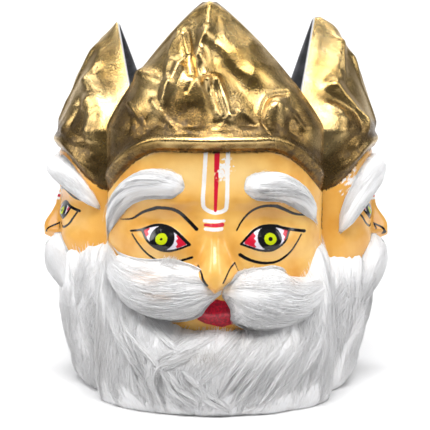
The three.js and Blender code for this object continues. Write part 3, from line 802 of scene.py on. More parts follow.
def on_form(c, share, z, thick):
    """The point at that thickness over the smooth form, in the mask's frame, and never under the floor."""
    z = np.maximum(z, 0)
    half, depth, _ = section(c, z)
    angle = share * np.pi / 2
    local = np.stack([(half + thick) * np.sin(angle), -(depth + thick) * np.cos(angle), z], -1)
    return to_world(c, local)


@dataclass(frozen=True)
class Locks:
    """Loose strands in locks: how many locks, and strands in each. reach is how far out they start
    across the skin, start and length where they start and how long they are along it, and limit where
    they end at most. fan is how wide a lock is, high how far it rises, curl its wave, splay how far it
    turns outwards, and stray the waves of its single strands."""

    count: int
    each: int
    reach: float = 1
    start: tuple = (0, 0.62)
    length: tuple = (0.28, 0.5)
    limit: float = 1
    fan: float = 0.04
    high: float = 1.4
    curl: float = 0.014
    splay: float = 0
    stray: float = 0.005


@dataclass(frozen=True)
class Beard:
    """A pad of long locks: its thickness in front at BEARD_HEIGHTS and at both edges, how much of it is
    left on the floor, how high its upper edge climbs to the sideburns and over what share of the face,
    how ragged that edge is, how its locks lean on the way down at LEAN_AT, how deep their relief is, and
    how much painted shade greys its body."""

    middle: tuple
    sides: tuple
    footprint: float
    burn_top: float
    swing: tuple
    locks: int
    lean: tuple
    strands: Locks
    crossing: tuple = ()
    columns: int = 130
    rows: int = 80
    reach: float = 1.1
    ragged: float = 3
    depth: float = 1
    grey: float = 0.55


BEARD_HEIGHTS = (0, 45, 90, 130)
LEAN_AT = (-1, -0.7, -0.35, -0.05, 0.25, 0.6, 1)
# Locks that lie across the front beard: places in the front view, half width, height
FRONT_LOCKS = (
    (((24, 82), (6, 73), (-9, 66), (-31, 57), (-49, 47), (-55, 34), (-50, 16)), 8, 5),
    (((-99, 138), (-93, 104), (-87, 74), (-69, 44), (-57, 16)), 7, 4),
    (((-84, 120), (-66, 92), (-43, 72), (-26, 58)), 7, 2.5),
    (((-90, 96), (-72, 70), (-52, 50), (-40, 26)), 8, 3),
    (((-56, 60), (-54, 36), (-42, 8)), 8, 3.5),
    (((-46, 44), (-34, 25), (-8, 8)), 8, 3.5),
    (((-76, 50), (-72, 30), (-64, 8)), 7, 3),
    (((-30, 42), (-12, 24), (14, 6)), 7, 3),
    (((30, 76), (6, 56), (-20, 26)), 8, 3),
    (((50, 74), (24, 50), (0, 14)), 8, 3.5),
    (((68, 76), (42, 50), (16, 12)), 8, 3.5),
    (((84, 78), (62, 48), (36, 10)), 8, 3.5),
    (((100, 100), (97, 70), (80, 42), (62, 12)), 8, 4),
    (((94, 84), (95, 50), (84, 14)), 8, 4),
)
LOCK_STRANDS = Locks(
    4, 40, reach=0.7, start=(0, 0.5), length=(0.35, 0.6), fan=0.36, high=0.4, curl=0.12, stray=0.06
)
LONG_LOCKS = Locks(80, 42, start=(-0.03, 0.62), fan=0.05, curl=0.03, stray=0.012)
SIDE_LOCKS = Locks(52, 44, start=(0, 0.75), length=(0.18, 0.36), fan=0.1, high=2.2, curl=0.05, stray=0.012)
BEARDS = {
    "front": Beard(
        (55, 51, 33, 14), (12, 12), 0.8, 148, (0.1, 0.9), 13, (0, 0.13, 0.15, 0, -0.16, -0.13, -0.02),
        LONG_LOCKS, FRONT_LOCKS, columns=180, reach=1.12, ragged=1.5, depth=0.75, grey=0.15,
    ),
    "left": Beard(
        (14, 15, 11, 9), (7, 12), 0.25, 118, (0.05, 0.5), 6, (0, 0.02, 0.05, 0.1, 0.12, 0.08, 0.02),
        SIDE_LOCKS,
    ),
    "right": Beard(
        (13, 13, 9, 8), (7, 12), 0.25, 108, (0.05, 0.55), 6, (-0.02, -0.08, -0.12, -0.1, -0.05, -0.02, 0),
        SIDE_LOCKS,
    ),
}
# A beard's upper edge at the middle of the face, how fast it thickens below, how high over the floor it
# starts to turn under, and how deep it sits in the face
CHIN_TOP = 74
ROOT_SLOPE = 12
CURL_UNDER = 24
TUCK = 1


def beard_top(c, form, share):
    """Height of a beard's upper edge, which climbs from the chin to the sideburns."""
    climb = (form.burn_top - CHIN_TOP) * smoothstep(np.minimum(1, np.abs(share)), *form.swing)
    return face_height(c, CHIN_TOP + climb)


def pad_thickness(c, form, share, z, top):
    """Thickness of the pad, and how far it has grown from its root."""
    grown = 1 - np.exp(-np.maximum(top - z, 0) / ROOT_SLOPE)
    front = np.maximum(0, np.cos(share * np.pi / 2)) ** 1.5
    side = np.where(share * c.near_end < 0, form.sides[0], form.sides[1])
    steps = zip(zip(BEARD_HEIGHTS, BEARD_HEIGHTS[1:]), zip(form.middle, form.middle[1:]))
    middle = form.middle[0] + sum((b - a) * smoothstep(z, low, high) for (low, high), (a, b) in steps)
    curl = np.maximum(0, 1 - np.maximum(z, 0) / CURL_UNDER) ** 2
    under = np.sqrt(1 - (1 - form.footprint**2) * curl)
    return grown * ((side + (middle - side) * front) * under) - TUCK, grown


def beard_place(c, form, across, down, higher=0.0):
    """share, z, thickness and growth: across picks the lock, down runs along it from its root to the
    floor."""
    held = np.clip(down, 0, 1)
    lean = np.interp(across, LEAN_AT, form.lean) * np.sin(np.pi / 2 * held) ** 1.5
    share = form.reach * (across + lean)
    top = beard_top(c, form, form.reach * across) + higher
    z = top * (1 - held**0.9 - np.minimum(down, 0))
    return share, z, *pad_thickness(c, form, share, z, top)


def billows(x, y, seed):
    """2|noise| less about its mean: round locks with sharp clefts between them."""
    return 2 * np.abs(noise(x, y, seed)) - 0.7


def lock_relief(u, v, locks, seed):
    """Height of combed locks: broad bundles, finer ones on them, and streaks."""
    drift = u + 0.03 * noise(u * 5, v * 2.5, seed) + 0.01 * noise(u * 14, v * 6, seed + 5)
    broad = billows(drift * locks * 0.42, v * 1.2, seed + 1)
    middle = noise(drift * locks * 1.3, v * 1.6, seed + 2)
    fine = noise(drift * locks * 4, v * 2.4, seed + 3)
    return 2.1 * broad + 0.9 * middle + 0.25 * fine


@dataclass
class Skin:
    """The surface of a piece of wool. place(u, v, lift) gives its points, and its fibres run along v.
    width and length are its size in millimetres, for the fibres' pattern, and locks and depth their
    number and relief."""

    place: object
    width: float
    length: float
    locks: float
    depth: float
    seed: int

    def wool(self, u, v, lift=0.0):
        """The surface with its locks."""
        return self.place(u, v, self.depth * lock_relief(u, v, self.locks, self.seed) + lift)


BEARD_WIDTH, BEARD_LENGTH = 220, 170


def beard_skin(c, form, loose=False):
    """The surface of a beard, with a ragged upper edge. Loose strands may rise past it, close to the
    face."""

    def place(u, v, lift):
        u = np.clip(u, -1.02, 1.02)
        ragged = form.ragged * (noise(u * 9, 0, c.seed + 71) + 0.6 * noise(u * 31, 0, c.seed + 72))
        share, z, thick, grown = beard_place(c, form, u, v, ragged)
        raised = thick + grown * lift
        if loose:
            raised = np.maximum(raised, face_relief(c, share, z) + 0.3 * np.clip(lift, 0, 2) + 0.2)
        return on_form(c, share, z, raised)

    return Skin(place, BEARD_WIDTH * c.half / SEAM_HALF, BEARD_LENGTH, form.locks, form.depth, c.seed + 70)


def share_in_view(c, form, x, z):
    """share where the beard's surface has that x as seen from in front, in three rounds of correction,
    and the beard's thickness there."""
    thick = np.full_like(x, form.middle[1])
    for _ in range(3):
        share = np.arcsin(np.clip(x / (c.half + thick), -1, 1)) / (np.pi / 2)
        thick, _ = pad_thickness(c, form, share, z, beard_top(c, form, share))
    return share, thick


# A path goes on straight past its end, by this share of the distance between its ends
PATH_BEYOND = 0.5


def path_along(line):
    """A function that gives the place on a path at v, from 0 to 1 along it and past its end, and its
    direction."""
    direction = unit(np.gradient(line, axis=0))
    steps = np.append(np.linspace(0, 1, len(line)), 1 + PATH_BEYOND)
    last = line[-1] + PATH_BEYOND * direction[-1] * np.hypot(*(line[-1] - line[0]))
    line, direction = np.vstack([line, last]), np.vstack([direction, direction[-1]])

    def path(v):
        return [[np.interp(v, steps, values[:, k]) for k in (0, 1)] for values in (line, direction)]

    return path


def lock_skin(c, form, route, wide, high, seed):
    """A lock that lies on the beard along a route: an arch across, tapered to both ends."""
    path = path_along(curve_through(route, 10))

    def place(u, v, lift):
        at, to = path(v)
        fat = np.sin(np.pi * (0.05 + 0.88 * np.clip(v, 0, 1))) ** 0.7
        x = at[0] - to[1] * u * wide * fat
        z = np.maximum(at[1] + to[0] * u * wide * fat, 0.5)
        share, thick = share_in_view(c, form, x, z)
        arch = (0.6 * high + 1) * fat * np.cos(np.pi / 2 * np.clip(u, -1, 1)) + 0.5
        return on_form(c, share, z, thick + arch + lift)

    return Skin(place, 2.4 * wide, 90, 2.5, 0.3, seed)


def tube_faces(parts, index):
    """Joins rings of three points, a ridge and two feet, into closed strands. Only the two upper faces are
    smooth, so that a strand takes the light as the surface under it does."""
    nxt = np.roll(index, -1, axis=-1)
    quads = np.stack([index[:, :-1], nxt[:, :-1], nxt[:, 1:], index[:, 1:]], -1)
    parts.join(quads[:, :, [0, 2]])
    parts.join(quads[:, :, 1], smooth=False)
    parts.join(index[:, 0, ::-1], smooth=False)
    parts.join(index[:, -1], smooth=False)


STRAND_KNOTS = 5
# How much of its distance from the guide a strand loses on the way
DRAWN = 0.55
# Share of the strands that come loose, and how far they rise
LOOSE_SHARE, LOOSE_RISE = 0.09, (1, 3.4)
# A ring of a strand: its ridge and its two feet, across and up, in half widths
RING_ACROSS, RING_UP = (0, -1, 1), (0.3, -0.05, -0.05)


def strands(parts, skin, locks, rng, width):
    """Tapered three-sided strands that follow the skin in locks. Each lock is a guide with a wave in it, and
    its strands start beside the guide and draw closer to it on the way: u is the guide, the wave, and an
    offset that loses a fixed share of itself."""
    shape = (locks.count, locks.each, 1)
    own = (locks.count, 1, 1)
    t = np.linspace(0, 1, STRAND_KNOTS)
    guide = np.linspace(-locks.reach, locks.reach, locks.count)[:, None, None] + rng.normal(0, locks.fan, own)
    guide = np.clip(guide, -locks.reach, locks.reach)
    offset = np.clip(rng.normal(0, 1, shape), -2.2, 2.2)
    start = np.maximum(locks.start[0], rng.uniform(*locks.start, own) + rng.uniform(-0.08, 0.12, shape))
    length = np.minimum(rng.uniform(*locks.length, own) * rng.uniform(0.75, 1.15, shape), locks.limit - start)
    v = start + length * t
    wave = locks.curl * rng.normal(0, 1.6, own)
    wave = wave * np.sin(2 * np.pi * rng.uniform(0.5, 1.1, own) * t + rng.uniform(0, 6, own))
    stray = locks.stray * rng.normal(0, 1, shape) * np.sin(2 * np.pi * rng.uniform(0.5, 2, shape) * t)
    u = guide * (1 + locks.splay * t) + locks.fan * offset * (1 - DRAWN * t) + wave * t + stray
    widest = 1.05 + 2 * locks.stray
    u = np.clip(u, -widest, widest)
    hump = locks.high * (1 - (offset / 2.3) ** 2) + rng.uniform(-0.5, 0.7, shape)
    loose = (rng.uniform(0, 1, shape) < LOOSE_SHARE) * rng.uniform(*LOOSE_RISE, shape)
    rise = hump * np.sin(np.pi * np.clip(t, 0.03, 0.9)) ** 0.6 + loose * t**2 - 0.3
    line, above = (skin.wool(u, v, rise + more).reshape(-1, STRAND_KNOTS, 3) for more in (0, 1))
    along = unit(np.gradient(line, axis=1))
    side = unit(np.cross(along, above - line))
    up = np.cross(side, along)
    count = len(line)
    thin = np.sin(np.pi * (0.06 + 0.9 * t)) ** 0.5 * rng.uniform(0.5, 1.4, (count, 1)) * width
    thin = thin[..., None, None]
    across, high = (np.array(ring)[:, None] for ring in (RING_ACROSS, RING_UP))
    ring = line[:, :, None] + side[:, :, None] * (across * thin) + up[:, :, None] * (high * thin)
    ring[..., 2] = np.maximum(ring[..., 2], 0.2)
    uv = np.empty((*ring.shape[:3], 2))
    uv[..., 0] = rng.uniform(0, 900, (count, 1, 1)) + np.array([0.5, 0, 1]) * 2 * width
    uv[..., 1] = (60 * t)[None, :, None] + rng.uniform(0, 500, (count, 1, 1))
    tube_faces(parts, parts.add(ring, uv, wool_fields(ring)))


# Where skin shows through thin wool, and where the wool is darker brown-grey, partly stained and partly
# painted shadow, in the front view: place, radii, amount
THIN_WOOL = ((-60, 124, 11, 5, 0.5), (-50, 109, 10, 4, 0.4), (74, 121, 9, 5, 0.35))
STAINS_AND_PAINTED_SHADOWS = (
    (-10, 54, 22, 6, 0.8),
    (-58, 96, 10, 14, 0.3),
    (-20, 88, 16, 8, 0.35),
    (-106, 50, 8, 30, 0.35),
    (36, 66, 30, 6, 0.35),
)
# Painted shade: the wool is painted greyer towards the floor, from the first height down to the second
PAINTED_SHADE_FROM, PAINTED_SHADE_FULL = 105, 45
CLEFT_SHADE = 0.12


def wool_fields(points):
    """Amounts of skin that shows through and of brown-grey, partly stained wool and partly painted shadow,
    for points in front of the seams, and of painted shade low down."""
    x, y, z = points[..., 0], points[..., 1], points[..., 2]
    skin, stain_and_shadow = ((y < SEAM_Y) * hills(x, z, spots) for spots in (THIN_WOOL, STAINS_AND_PAINTED_SHADOWS))
    return {"tint": np.stack([skin, stain_and_shadow, smoothstep(-z, -PAINTED_SHADE_FROM, -PAINTED_SHADE_FULL)], -1)}


def pad_body(parts, skin, columns, rows, back, grey, mirrored=False):
    """The closed body of a wool piece: its locked surface, and a plain back against the paper."""
    edge = -1 if mirrored else 1
    u, v = np.meshgrid(np.linspace(-edge, edge, columns), np.linspace(0, 1, rows))
    uv = np.stack([u * skin.width / 2, v * skin.length], -1)
    points = skin.wool(u, v)
    fields = wool_fields(points)
    # Painted shade: the clefts between locks are darkened, and the whole body by grey, so that it shows
    # darker between the strands
    cleft = smoothstep(-lock_relief(u, v, skin.locks, skin.seed), 0.2, 2.0)
    fields["tint"][..., 1] += CLEFT_SHADE * cleft
    fields["tint"][..., 2] += grey
    outer = parts.add(points, uv, fields)
    pick = thinned(u.shape, WOOL_STEP)
    inner = parts.add(back(u[pick], v[pick]), uv[pick])
    parts.sheet(outer, flip=True)
    parts.sheet(inner)
    parts.hem(outer[::-1], inner[::-1])


def make_beard(name, sizes):
    """A beard: its body on the paper, the locks that lie across it, and loose strands on top."""
    c, form = CASTINGS[name], BEARDS[name]
    skin = beard_skin(c, form)
    width = sizes.strand_width / MM
    rng = np.random.default_rng(c.seed + 100)
    parts = Parts()

    def back(u, v):
        share, z, thick, _ = beard_place(c, form, u, v)
        relief = face_relief(c, share, z) + 0.4
        return on_form(c, share, z, np.minimum(relief, np.maximum(thick - 0.5, relief - 4)))

    pad_body(parts, skin, form.columns, form.rows, back, form.grey)
    for index, lock in enumerate(form.crossing):
        strands(parts, lock_skin(c, form, *lock, 400 + index), LOCK_STRANDS, rng, width)
    strands(parts, beard_skin(c, form, loose=True), form.strands, rng, width)
    node = "front_beard" if name == "front" else f"{name}_face_beard"
    return finished(parts.make(f"{node}_wool", [combed_wool()]), node)


EDGED = Locks(
    0, 0, reach=0.97, start=(0, 0.72), length=(0.3, 0.5), limit=1.25,
    fan=0.14, high=0.9, curl=0.04, splay=0.1, stray=0.02,
)
PUFF_STRANDS = replace(EDGED, count=26, each=58)
SIDE_PUFF_STRANDS = replace(EDGED, count=16, each=40, fan=0.2, curl=0.07, stray=0.03, limit=1.3)
BROW_STRANDS = replace(EDGED, count=12, each=40, length=(0.25, 0.4))
SIDE_BROW_STRANDS = replace(BROW_STRANDS, count=10, each=30, fan=0.2, curl=0.05, stray=0.025, limit=1.02)
FUZZ = Locks(
    2, 240, reach=0.97, start=(0, 0.85), length=(0.12, 0.3), limit=1.2,
    fan=0.05, high=0.8, curl=0.01, splay=0.05, stray=0.09,
)
SMALL_FUZZ = replace(FUZZ, each=60)


@dataclass(frozen=True)
class Tuft:
    """A bundle of wool that follows a path over a face, given in the front casting's x and z on its +x
    side: half width, thickness, how much of both it has at its start, columns, rows and loose strands. A
    brow starts from nothing."""

    face: str
    side: int
    path: tuple
    tall: float
    thick: float
    start: float
    grid: tuple
    strands: Locks
    fuzz: Locks = SMALL_FUZZ


SIDE_MOUSTACHE = Tuft(
    "left", 1, ((4, 103), (20, 105), (38, 95), (51, 76), (57, 56)), 25, 28, 0.25, (40, 50), SIDE_PUFF_STRANDS
)
LONG_MOUSTACHE = replace(SIDE_MOUSTACHE, path=((4, 103), (20, 104), (38, 92), (52, 68), (59, 42)))
SIDE_BROW = Tuft(
    "left", 1, ((12, 212), (36, 212), (59, 206), (79, 192), (94, 166)), 16, 24, 0, (24, 34), SIDE_BROW_STRANDS
)
LONG_BROW = replace(SIDE_BROW, tall=20, path=((12, 212), (36, 209), (59, 195), (79, 168), (90, 134)))
LEFT_MOUSTACHE = Tuft(
    "front", -1, ((-6, 110), (10, 111.5), (34, 109), (60, 113), (86, 128)), 27, 31, 0.1, (64, 76),
    PUFF_STRANDS, FUZZ,
)
RIGHT_MOUSTACHE = replace(
    LEFT_MOUSTACHE, side=1, tall=29, thick=33,
    path=((6.5, 109.5), (20, 108.5), (39, 102), (61, 98), (87, 106)),
)
LEFT_BROW = Tuft(
    "front", -1, ((26, 201), (43, 205), (62, 203), (81, 188), (95, 154)), 12.5, 15, 0, (30, 50), BROW_STRANDS
)
RIGHT_BROW = replace(LEFT_BROW, side=1, path=((25, 200), (41, 203), (58, 201), (75, 189), (88, 169)))
TUFTS = {
    "front_moustache_left": LEFT_MOUSTACHE,
    "front_moustache_right": RIGHT_MOUSTACHE,
    "front_brow_left": LEFT_BROW,
    "front_brow_right": RIGHT_BROW,
    "left_face_moustache_rear": replace(SIDE_MOUSTACHE, side=-1),
    "left_face_moustache_front": SIDE_MOUSTACHE,
    "left_face_brow_rear": replace(SIDE_BROW, side=-1),
    "left_face_brow_front": SIDE_BROW,
    "right_face_moustache_front": replace(LONG_MOUSTACHE, face="right", side=-1),
    "right_face_moustache_rear": replace(SIDE_MOUSTACHE, face="right"),
    "right_face_brow_front": replace(LONG_BROW, face="right", side=-1),
    "right_face_brow_rear": replace(SIDE_BROW, face="right"),
}
# Length of the fibres' pattern, number of locks and their relief
PUFF_WOOL, BROW_WOOL = (95, 5, 0.22), (75, 4, 0.16)
# Painted shade that greys the bodies of the moustaches and brows
TUFT_PAINTED_SHADE = 0.1
# Width of the strands and of the fuzz against the strands of a beard
TUFT_STRAND, FUZZ_STRAND = 0.9, 0.5


def puff(t, start):
    """A moustache half swells from its start and is blunt at its end."""
    return start + (1 - start) * np.sin(np.pi * (0.03 + 0.85 * t)) ** 1.2


def brush(t):
    """A brow has a short round inner end and thins out at its outer one."""
    ends = np.sqrt(np.clip(t / 0.09 + 0.04, 0, 1) * np.clip((1 - t) / 0.12 + 0.1, 0, 1))
    return ends * (0.62 + 0.4 * np.sin(np.pi * t**0.8) - 0.25 * t**3)


def tuft_skin(tuft, seed):
    """u runs over the tuft from its lower edge to its upper one, v along its path from the middle of the
    face, and past its end for loose fibres."""
    c, beard = CASTINGS[tuft.face], BEARDS[tuft.face]
    arc = quarter_arc(c.half, c.depth)
    x, z = np.array(tuft.path, float).T
    along = np.arcsin(x / SEAM_HALF) / (np.pi / 2) * arc
    path = path_along(curve_through(np.stack([along, face_height(c, z)], -1), 10))

    def place(u, v, lift, flat=False):
        t = np.clip(v, 0, 1)
        fat = puff(t, tuft.start) if tuft.start else brush(t)
        aside = u * tuft.tall * fat * c.face
        at, to = path(v)
        share = tuft.side * (at[0] - aside * to[1]) / arc
        z = at[1] + aside * to[0]
        relief = face_relief(c, share, z)
        if flat:
            return on_form(c, share, z, relief + 0.2)
        ends = smoothstep(t, -0.02, 0.06) * smoothstep(-v, -1.3, -0.92)
        swell = tuft.thick * fat**0.8 * np.maximum(0, 1 - u * u) ** 0.45 * (0.3 + 0.7 * ends)
        under = pad_thickness(c, beard, share, z, beard_top(c, beard, share))[0] - 1.5
        least = np.maximum(relief + 0.3, under)
        return on_form(c, share, z, np.maximum(c.face * swell, least) + c.face * lift)

    length, locks, depth = PUFF_WOOL if tuft.start else BROW_WOOL
    return Skin(place, tuft.tall * 2.6, length, locks, depth, seed)


def make_tuft(node, index, sizes):
    """A moustache half or a brow: body and strands that run along it, with a loose fringe at its edges."""
    tuft = TUFTS[node]
    skin = tuft_skin(tuft, 200 + 11 * index)
    rng = np.random.default_rng(300 + index)
    parts = Parts()

    def back(u, v):
        return skin.place(u, v, 0, flat=True)

    pad_body(parts, skin, *tuft.grid, back, TUFT_PAINTED_SHADE, mirrored=tuft.side < 0)
    for locks, share in ((tuft.strands, TUFT_STRAND), (tuft.fuzz, FUZZ_STRAND)):
        strands(parts, skin, locks, rng, share * sizes.strand_width / MM)
    return finished(parts.make(f"{node}_wool", [combed_wool()]), node)


# Materials


class Nodes:
    """Adds nodes to one node tree and joins them. A value is a socket to link from, a number or a
    colour."""

    def __init__(self, tree):
        self.tree = tree

    def put(self, value, painted_shade_and_highlight):
        if isinstance(value, bpy.types.NodeSocket):
            self.tree.links.new(value, painted_shade_and_highlight)
        elif value is not None:
            painted_shade_and_highlight.default_value = (*value, 1) if painted_shade_and_highlight.type == "RGBA" else value

    def fill(self, sockets, values):
        for key, value in values.items():
            self.put(value, sockets[key])

    def node(self, kind, values=None, **settings):
        made = self.tree.nodes.new(kind)
        for key, value in settings.items():
            setattr(made, key, value)
        self.fill(made.inputs, values or {})
        return made

    def math(self, operation, *values):
        made = self.node("ShaderNodeMath", operation=operation)
        self.fill(made.inputs, dict(enumerate(values)))
        return made.outputs[0]

    def times(self, a, b):
        return self.math("MULTIPLY", a, b)

    def weigh(self, factor, a, b):
        """a where the factor is 0 and b where it is 1."""
        return self.math("MULTIPLY_ADD", factor, self.math("SUBTRACT", b, a), a)

    def coats(self, colour, layers):
        """Lays colours over the first one, each where its mask is 1."""
        for mask, over in layers:
            made = self.node("ShaderNodeMix", {}, data_type="RGBA")
            self.fill(made.inputs, {0: mask, 6: colour, 7: over})
            colour = made.outputs[2]
        return colour

    def between(self, value, low, high, to_low=0.0, to_high=1.0):
        made = self.node("ShaderNodeMapRange", clamp=True)
        self.fill(made.inputs, dict(enumerate((value, low, high, to_low, to_high))))
        return made.outputs[0]

    def fade(self, mask, least):
        """1 where the mask is 0, and least where it is 1."""
        return self.between(mask, 0.0, 1.0, 1.0, least)

    def field(self, name):
        """The three numbers of a stored field."""
        read = self.node("ShaderNodeAttribute", attribute_name=name, attribute_type="GEOMETRY")
        return self.node("ShaderNodeSeparateXYZ", {"Vector": read.outputs["Vector"]}).outputs

    def noise(self, vector, scale, detail=3.0, roughness=0.55, distortion=0.0):
        names = ("Vector", "Scale", "Detail", "Roughness", "Distortion")
        given = dict(zip(names, (vector, scale, detail, roughness, distortion)))
        return self.node("ShaderNodeTexNoise", given).outputs["Fac"]

    def patches(self, vector, scale, detail, low, high, roughness=0.55):
        """Noise, stretched from 0 to 1 between two of its values."""
        return self.between(self.noise(vector, scale, detail, roughness), low, high)

    def bump(self, height, distance, strength):
        given = {"Height": height, "Distance": distance, "Strength": strength}
        return self.node("ShaderNodeBump", given).outputs["Normal"]

    def group(self, tree, values):
        made = self.node("ShaderNodeGroup", node_tree=tree)
        self.fill(made.inputs, values)
        return made.outputs

    def object_place(self):
        return self.node("ShaderNodeTexCoord").outputs["Object"]


def material(name):
    """Makes a builder of nodes into a function that gives its material, built the first time it is
    wanted."""

    def wrap(build):
        def given():
            if name not in bpy.data.materials:
                made = bpy.data.materials.new(name)
                made.use_nodes = True
                surface = next(n for n in made.node_tree.nodes if n.type == "BSDF_PRINCIPLED")
                build(Nodes(made.node_tree), surface.inputs, bpy.context.scene.mask_colours)
            return bpy.data.materials[name]

        return given

    return wrap


def paper_grain():
    """Pulp and brush marks of the paper: height and a darkness of dust, from a place and a scale."""
    name = "paper_grain"
    if name in bpy.data.node_groups:
        return bpy.data.node_groups[name]
    tree = bpy.data.node_groups.new(name, "ShaderNodeTree")
    for label, way, kind in (
        ("Place", "INPUT", "Vector"),
        ("Scale", "INPUT", "Float"),
        ("Height", "OUTPUT", "Float"),
        ("Dust", "OUTPUT", "Float"),
    ):
        tree.interface.new_socket(name=label, in_out=way, socket_type=f"NodeSocket{kind}")
    nodes = Nodes(tree)
    given = nodes.node("NodeGroupInput").outputs
    place = given["Place"]
    broad = nodes.noise(place, nodes.times(given["Scale"], 60.0), 4.0)
    fine = nodes.noise(place, nodes.times(given["Scale"], 420.0), 3.0)
    height = nodes.math("MULTIPLY_ADD", broad, 0.75, nodes.times(fine, 0.25))
    dust = nodes.patches(place, nodes.times(given["Scale"], 28.0), 6.0, 0.55, 0.8, 0.7)
    nodes.node("NodeGroupOutput", {"Height": height, "Dust": dust})
    return tree


# Heights above the rim of the crown, in millimetres
LIPS_BELOW = (-120.0, -126.0)
AMBER_BAND = (0.5, 1.6, 3.0, 4.2)
STRIP_WIDTH = 6.0
STRIP_DOWN = 58.0
SOFT = 0.25


@material("painted_and_gilded_paper")
def painted_paper(nodes, surface, colours):
    """Outer face: glossy enamel with painted lines, and gold foil over the crown."""
    place = nodes.object_place()
    grain = nodes.group(paper_grain(), {"Place": place, "Scale": 1.0})
    wobble = nodes.times(nodes.math("SUBTRACT", nodes.noise(place, 700.0, 2.0), 0.5), 0.7)

    def inside(distance):
        return nodes.between(nodes.math("ADD", distance, wobble), -SOFT, SOFT)

    ink, rouge, chalk = nodes.field("paint")
    white, ring, _ = nodes.field("eyes")
    above, from_edge, browned_and_shaded = nodes.field("crown")
    flakes, painted_shade_and_highlight, raw = nodes.field("wear")

    mottles = nodes.patches(place, 420.0, 3.0, 0.4, 0.6)
    mottled = nodes.times(nodes.between(above, *LIPS_BELOW), mottles)
    paint = nodes.coats(colours.enamel, (
        (nodes.patches(place, 34.0, 3.0, 0.35, 0.7), colours.enamel_dark_and_painted_shade),
        (nodes.times(grain["Dust"], 0.3), colours.enamel_dark_and_painted_shade),
        # Painted shade over the eyes, beside the nose and on the side faces, and painted highlight on the
        # forehead and the cheeks
        (nodes.between(painted_shade_and_highlight, 0.0, 1.0, 0.0, 0.8), colours.enamel_dark_and_painted_shade),
        (nodes.between(painted_shade_and_highlight, 0.0, -1.0, 0.0, 0.8), colours.enamel_painted_highlight),
        (inside(flakes), colours.chalk),
        (inside(chalk), colours.chalk),
        (inside(white), colours.eye_white),
        (inside(rouge), nodes.coats(colours.rouge, ((mottled, colours.rouge_dark),))),
        (inside(ink), colours.ink),
        (inside(ring), colours.iris),
    ))

    # The foil ends in a torn edge above the brow, and in a strip that runs down along the seam
    ragged = nodes.times(nodes.math("SUBTRACT", nodes.noise(place, 330.0, 5.0, 0.7), 0.5), 7.0)
    edge = nodes.math("SUBTRACT", STRIP_WIDTH, from_edge)
    strip = nodes.math("MINIMUM", edge, nodes.math("ADD", above, STRIP_DOWN))
    strip = nodes.math("ADD", strip, nodes.times(ragged, 0.5))
    torn = nodes.math("MAXIMUM", nodes.math("ADD", above, ragged), strip)
    gilt = nodes.between(torn, 0.2, 0.7)

    low, rising, falling, high = AMBER_BAND
    amber = nodes.times(nodes.between(above, low, rising), nodes.between(above, high, falling))
    speckle = nodes.between(nodes.noise(place, 900.0, 3.0, 0.7), 0.35, 0.65, 0.7, 1.0)
    # The brown foil is partly browned and partly painted shade, and the deep soot darkens the darkest of it
    brown = nodes.times(nodes.between(browned_and_shaded, 0.05, 0.7), speckle)
    soot_noise = nodes.noise(place, 160.0, 5.0, 0.75)
    soot_low = nodes.times(nodes.between(torn, 3.2, 0.6), nodes.between(soot_noise, 0.42, 0.55))
    soot_deep = nodes.times(nodes.between(browned_and_shaded, 0.55, 1.0), nodes.between(soot_noise, 0.45, 0.62))
    soot = nodes.times(nodes.math("MAXIMUM", soot_low, nodes.times(soot_deep, 0.8)), gilt)
    bare = nodes.between(nodes.math("ADD", raw, wobble), -0.3, 0.3)
    gold = nodes.coats(colours.gold, (
        (nodes.patches(place, 22.0, 4.0, 0.35, 0.65), colours.gold_shade),
        (nodes.times(amber, 0.85), colours.amber),
        (nodes.times(brown, 0.95), colours.tarnish_and_painted_shade),
        (soot, colours.soot),
    ))

    metal = nodes.times(nodes.times(gilt, nodes.fade(soot, 0.55)), nodes.fade(brown, 0.9))
    gold_rough = nodes.between(nodes.noise(place, 90.0, 4.0), 0.3, 0.7, 0.2, 0.3)
    gold_rough = nodes.math("ADD", gold_rough, nodes.times(nodes.math("MAXIMUM", soot, bare), 0.2))
    enamel_rough = nodes.between(grain["Dust"], 0.0, 1.0, 0.33, 0.5)
    enamel_rough = nodes.times(enamel_rough, nodes.between(ink, 0.0, 0.5, 1.0, 0.4))
    inked = nodes.between(ink, -0.3, 0.3)
    unlacquered = nodes.math("MAXIMUM", gilt, inked)

    wrinkle = nodes.times(nodes.noise(place, 60.0, 2.0, 0.5), 0.3)
    foil_height = nodes.math("MULTIPLY_ADD", nodes.noise(place, 900.0, 2.0, 0.6), 0.4, wrinkle)
    enamel_height = nodes.math("ADD", nodes.times(grain["Height"], 0.5), nodes.times(inked, 0.25))
    nodes.fill(surface, {
        "Base Color": nodes.coats(paint, ((gilt, gold), (bare, colours.raw_paper))),
        "Metallic": nodes.times(metal, nodes.fade(bare, 0.0)),
        "Roughness": nodes.weigh(gilt, enamel_rough, gold_rough),
        "Coat Weight": nodes.between(unlacquered, 0.0, 1.0, 0.3, 0.0),
        "Coat Roughness": 0.09,
        "Normal": nodes.bump(nodes.weigh(gilt, enamel_height, foil_height), 0.0009, 0.8),
    })


PALE_WASH = 2.4
PASTED_DUST = (0.42, 0.42, 0.44)


@material("grey_inside_paper")
def bare_paper(nodes, surface, colours):
    """Inside of the castings: dark grey wash over pasted paper."""
    place = nodes.object_place()
    grain = nodes.group(paper_grain(), {"Place": place, "Scale": 1.3})
    pale = [min(1.0, PALE_WASH * v) for v in colours.inside]
    nodes.fill(surface, {
        "Base Color": nodes.coats(colours.inside, (
            (nodes.patches(place, 45.0, 5.0, 0.4, 0.75, 0.65), pale),
            (nodes.times(grain["Dust"], 0.5), PASTED_DUST),
        )),
        "Roughness": 0.72,
        "Normal": nodes.bump(grain["Height"], 0.0012, 0.9),
    })


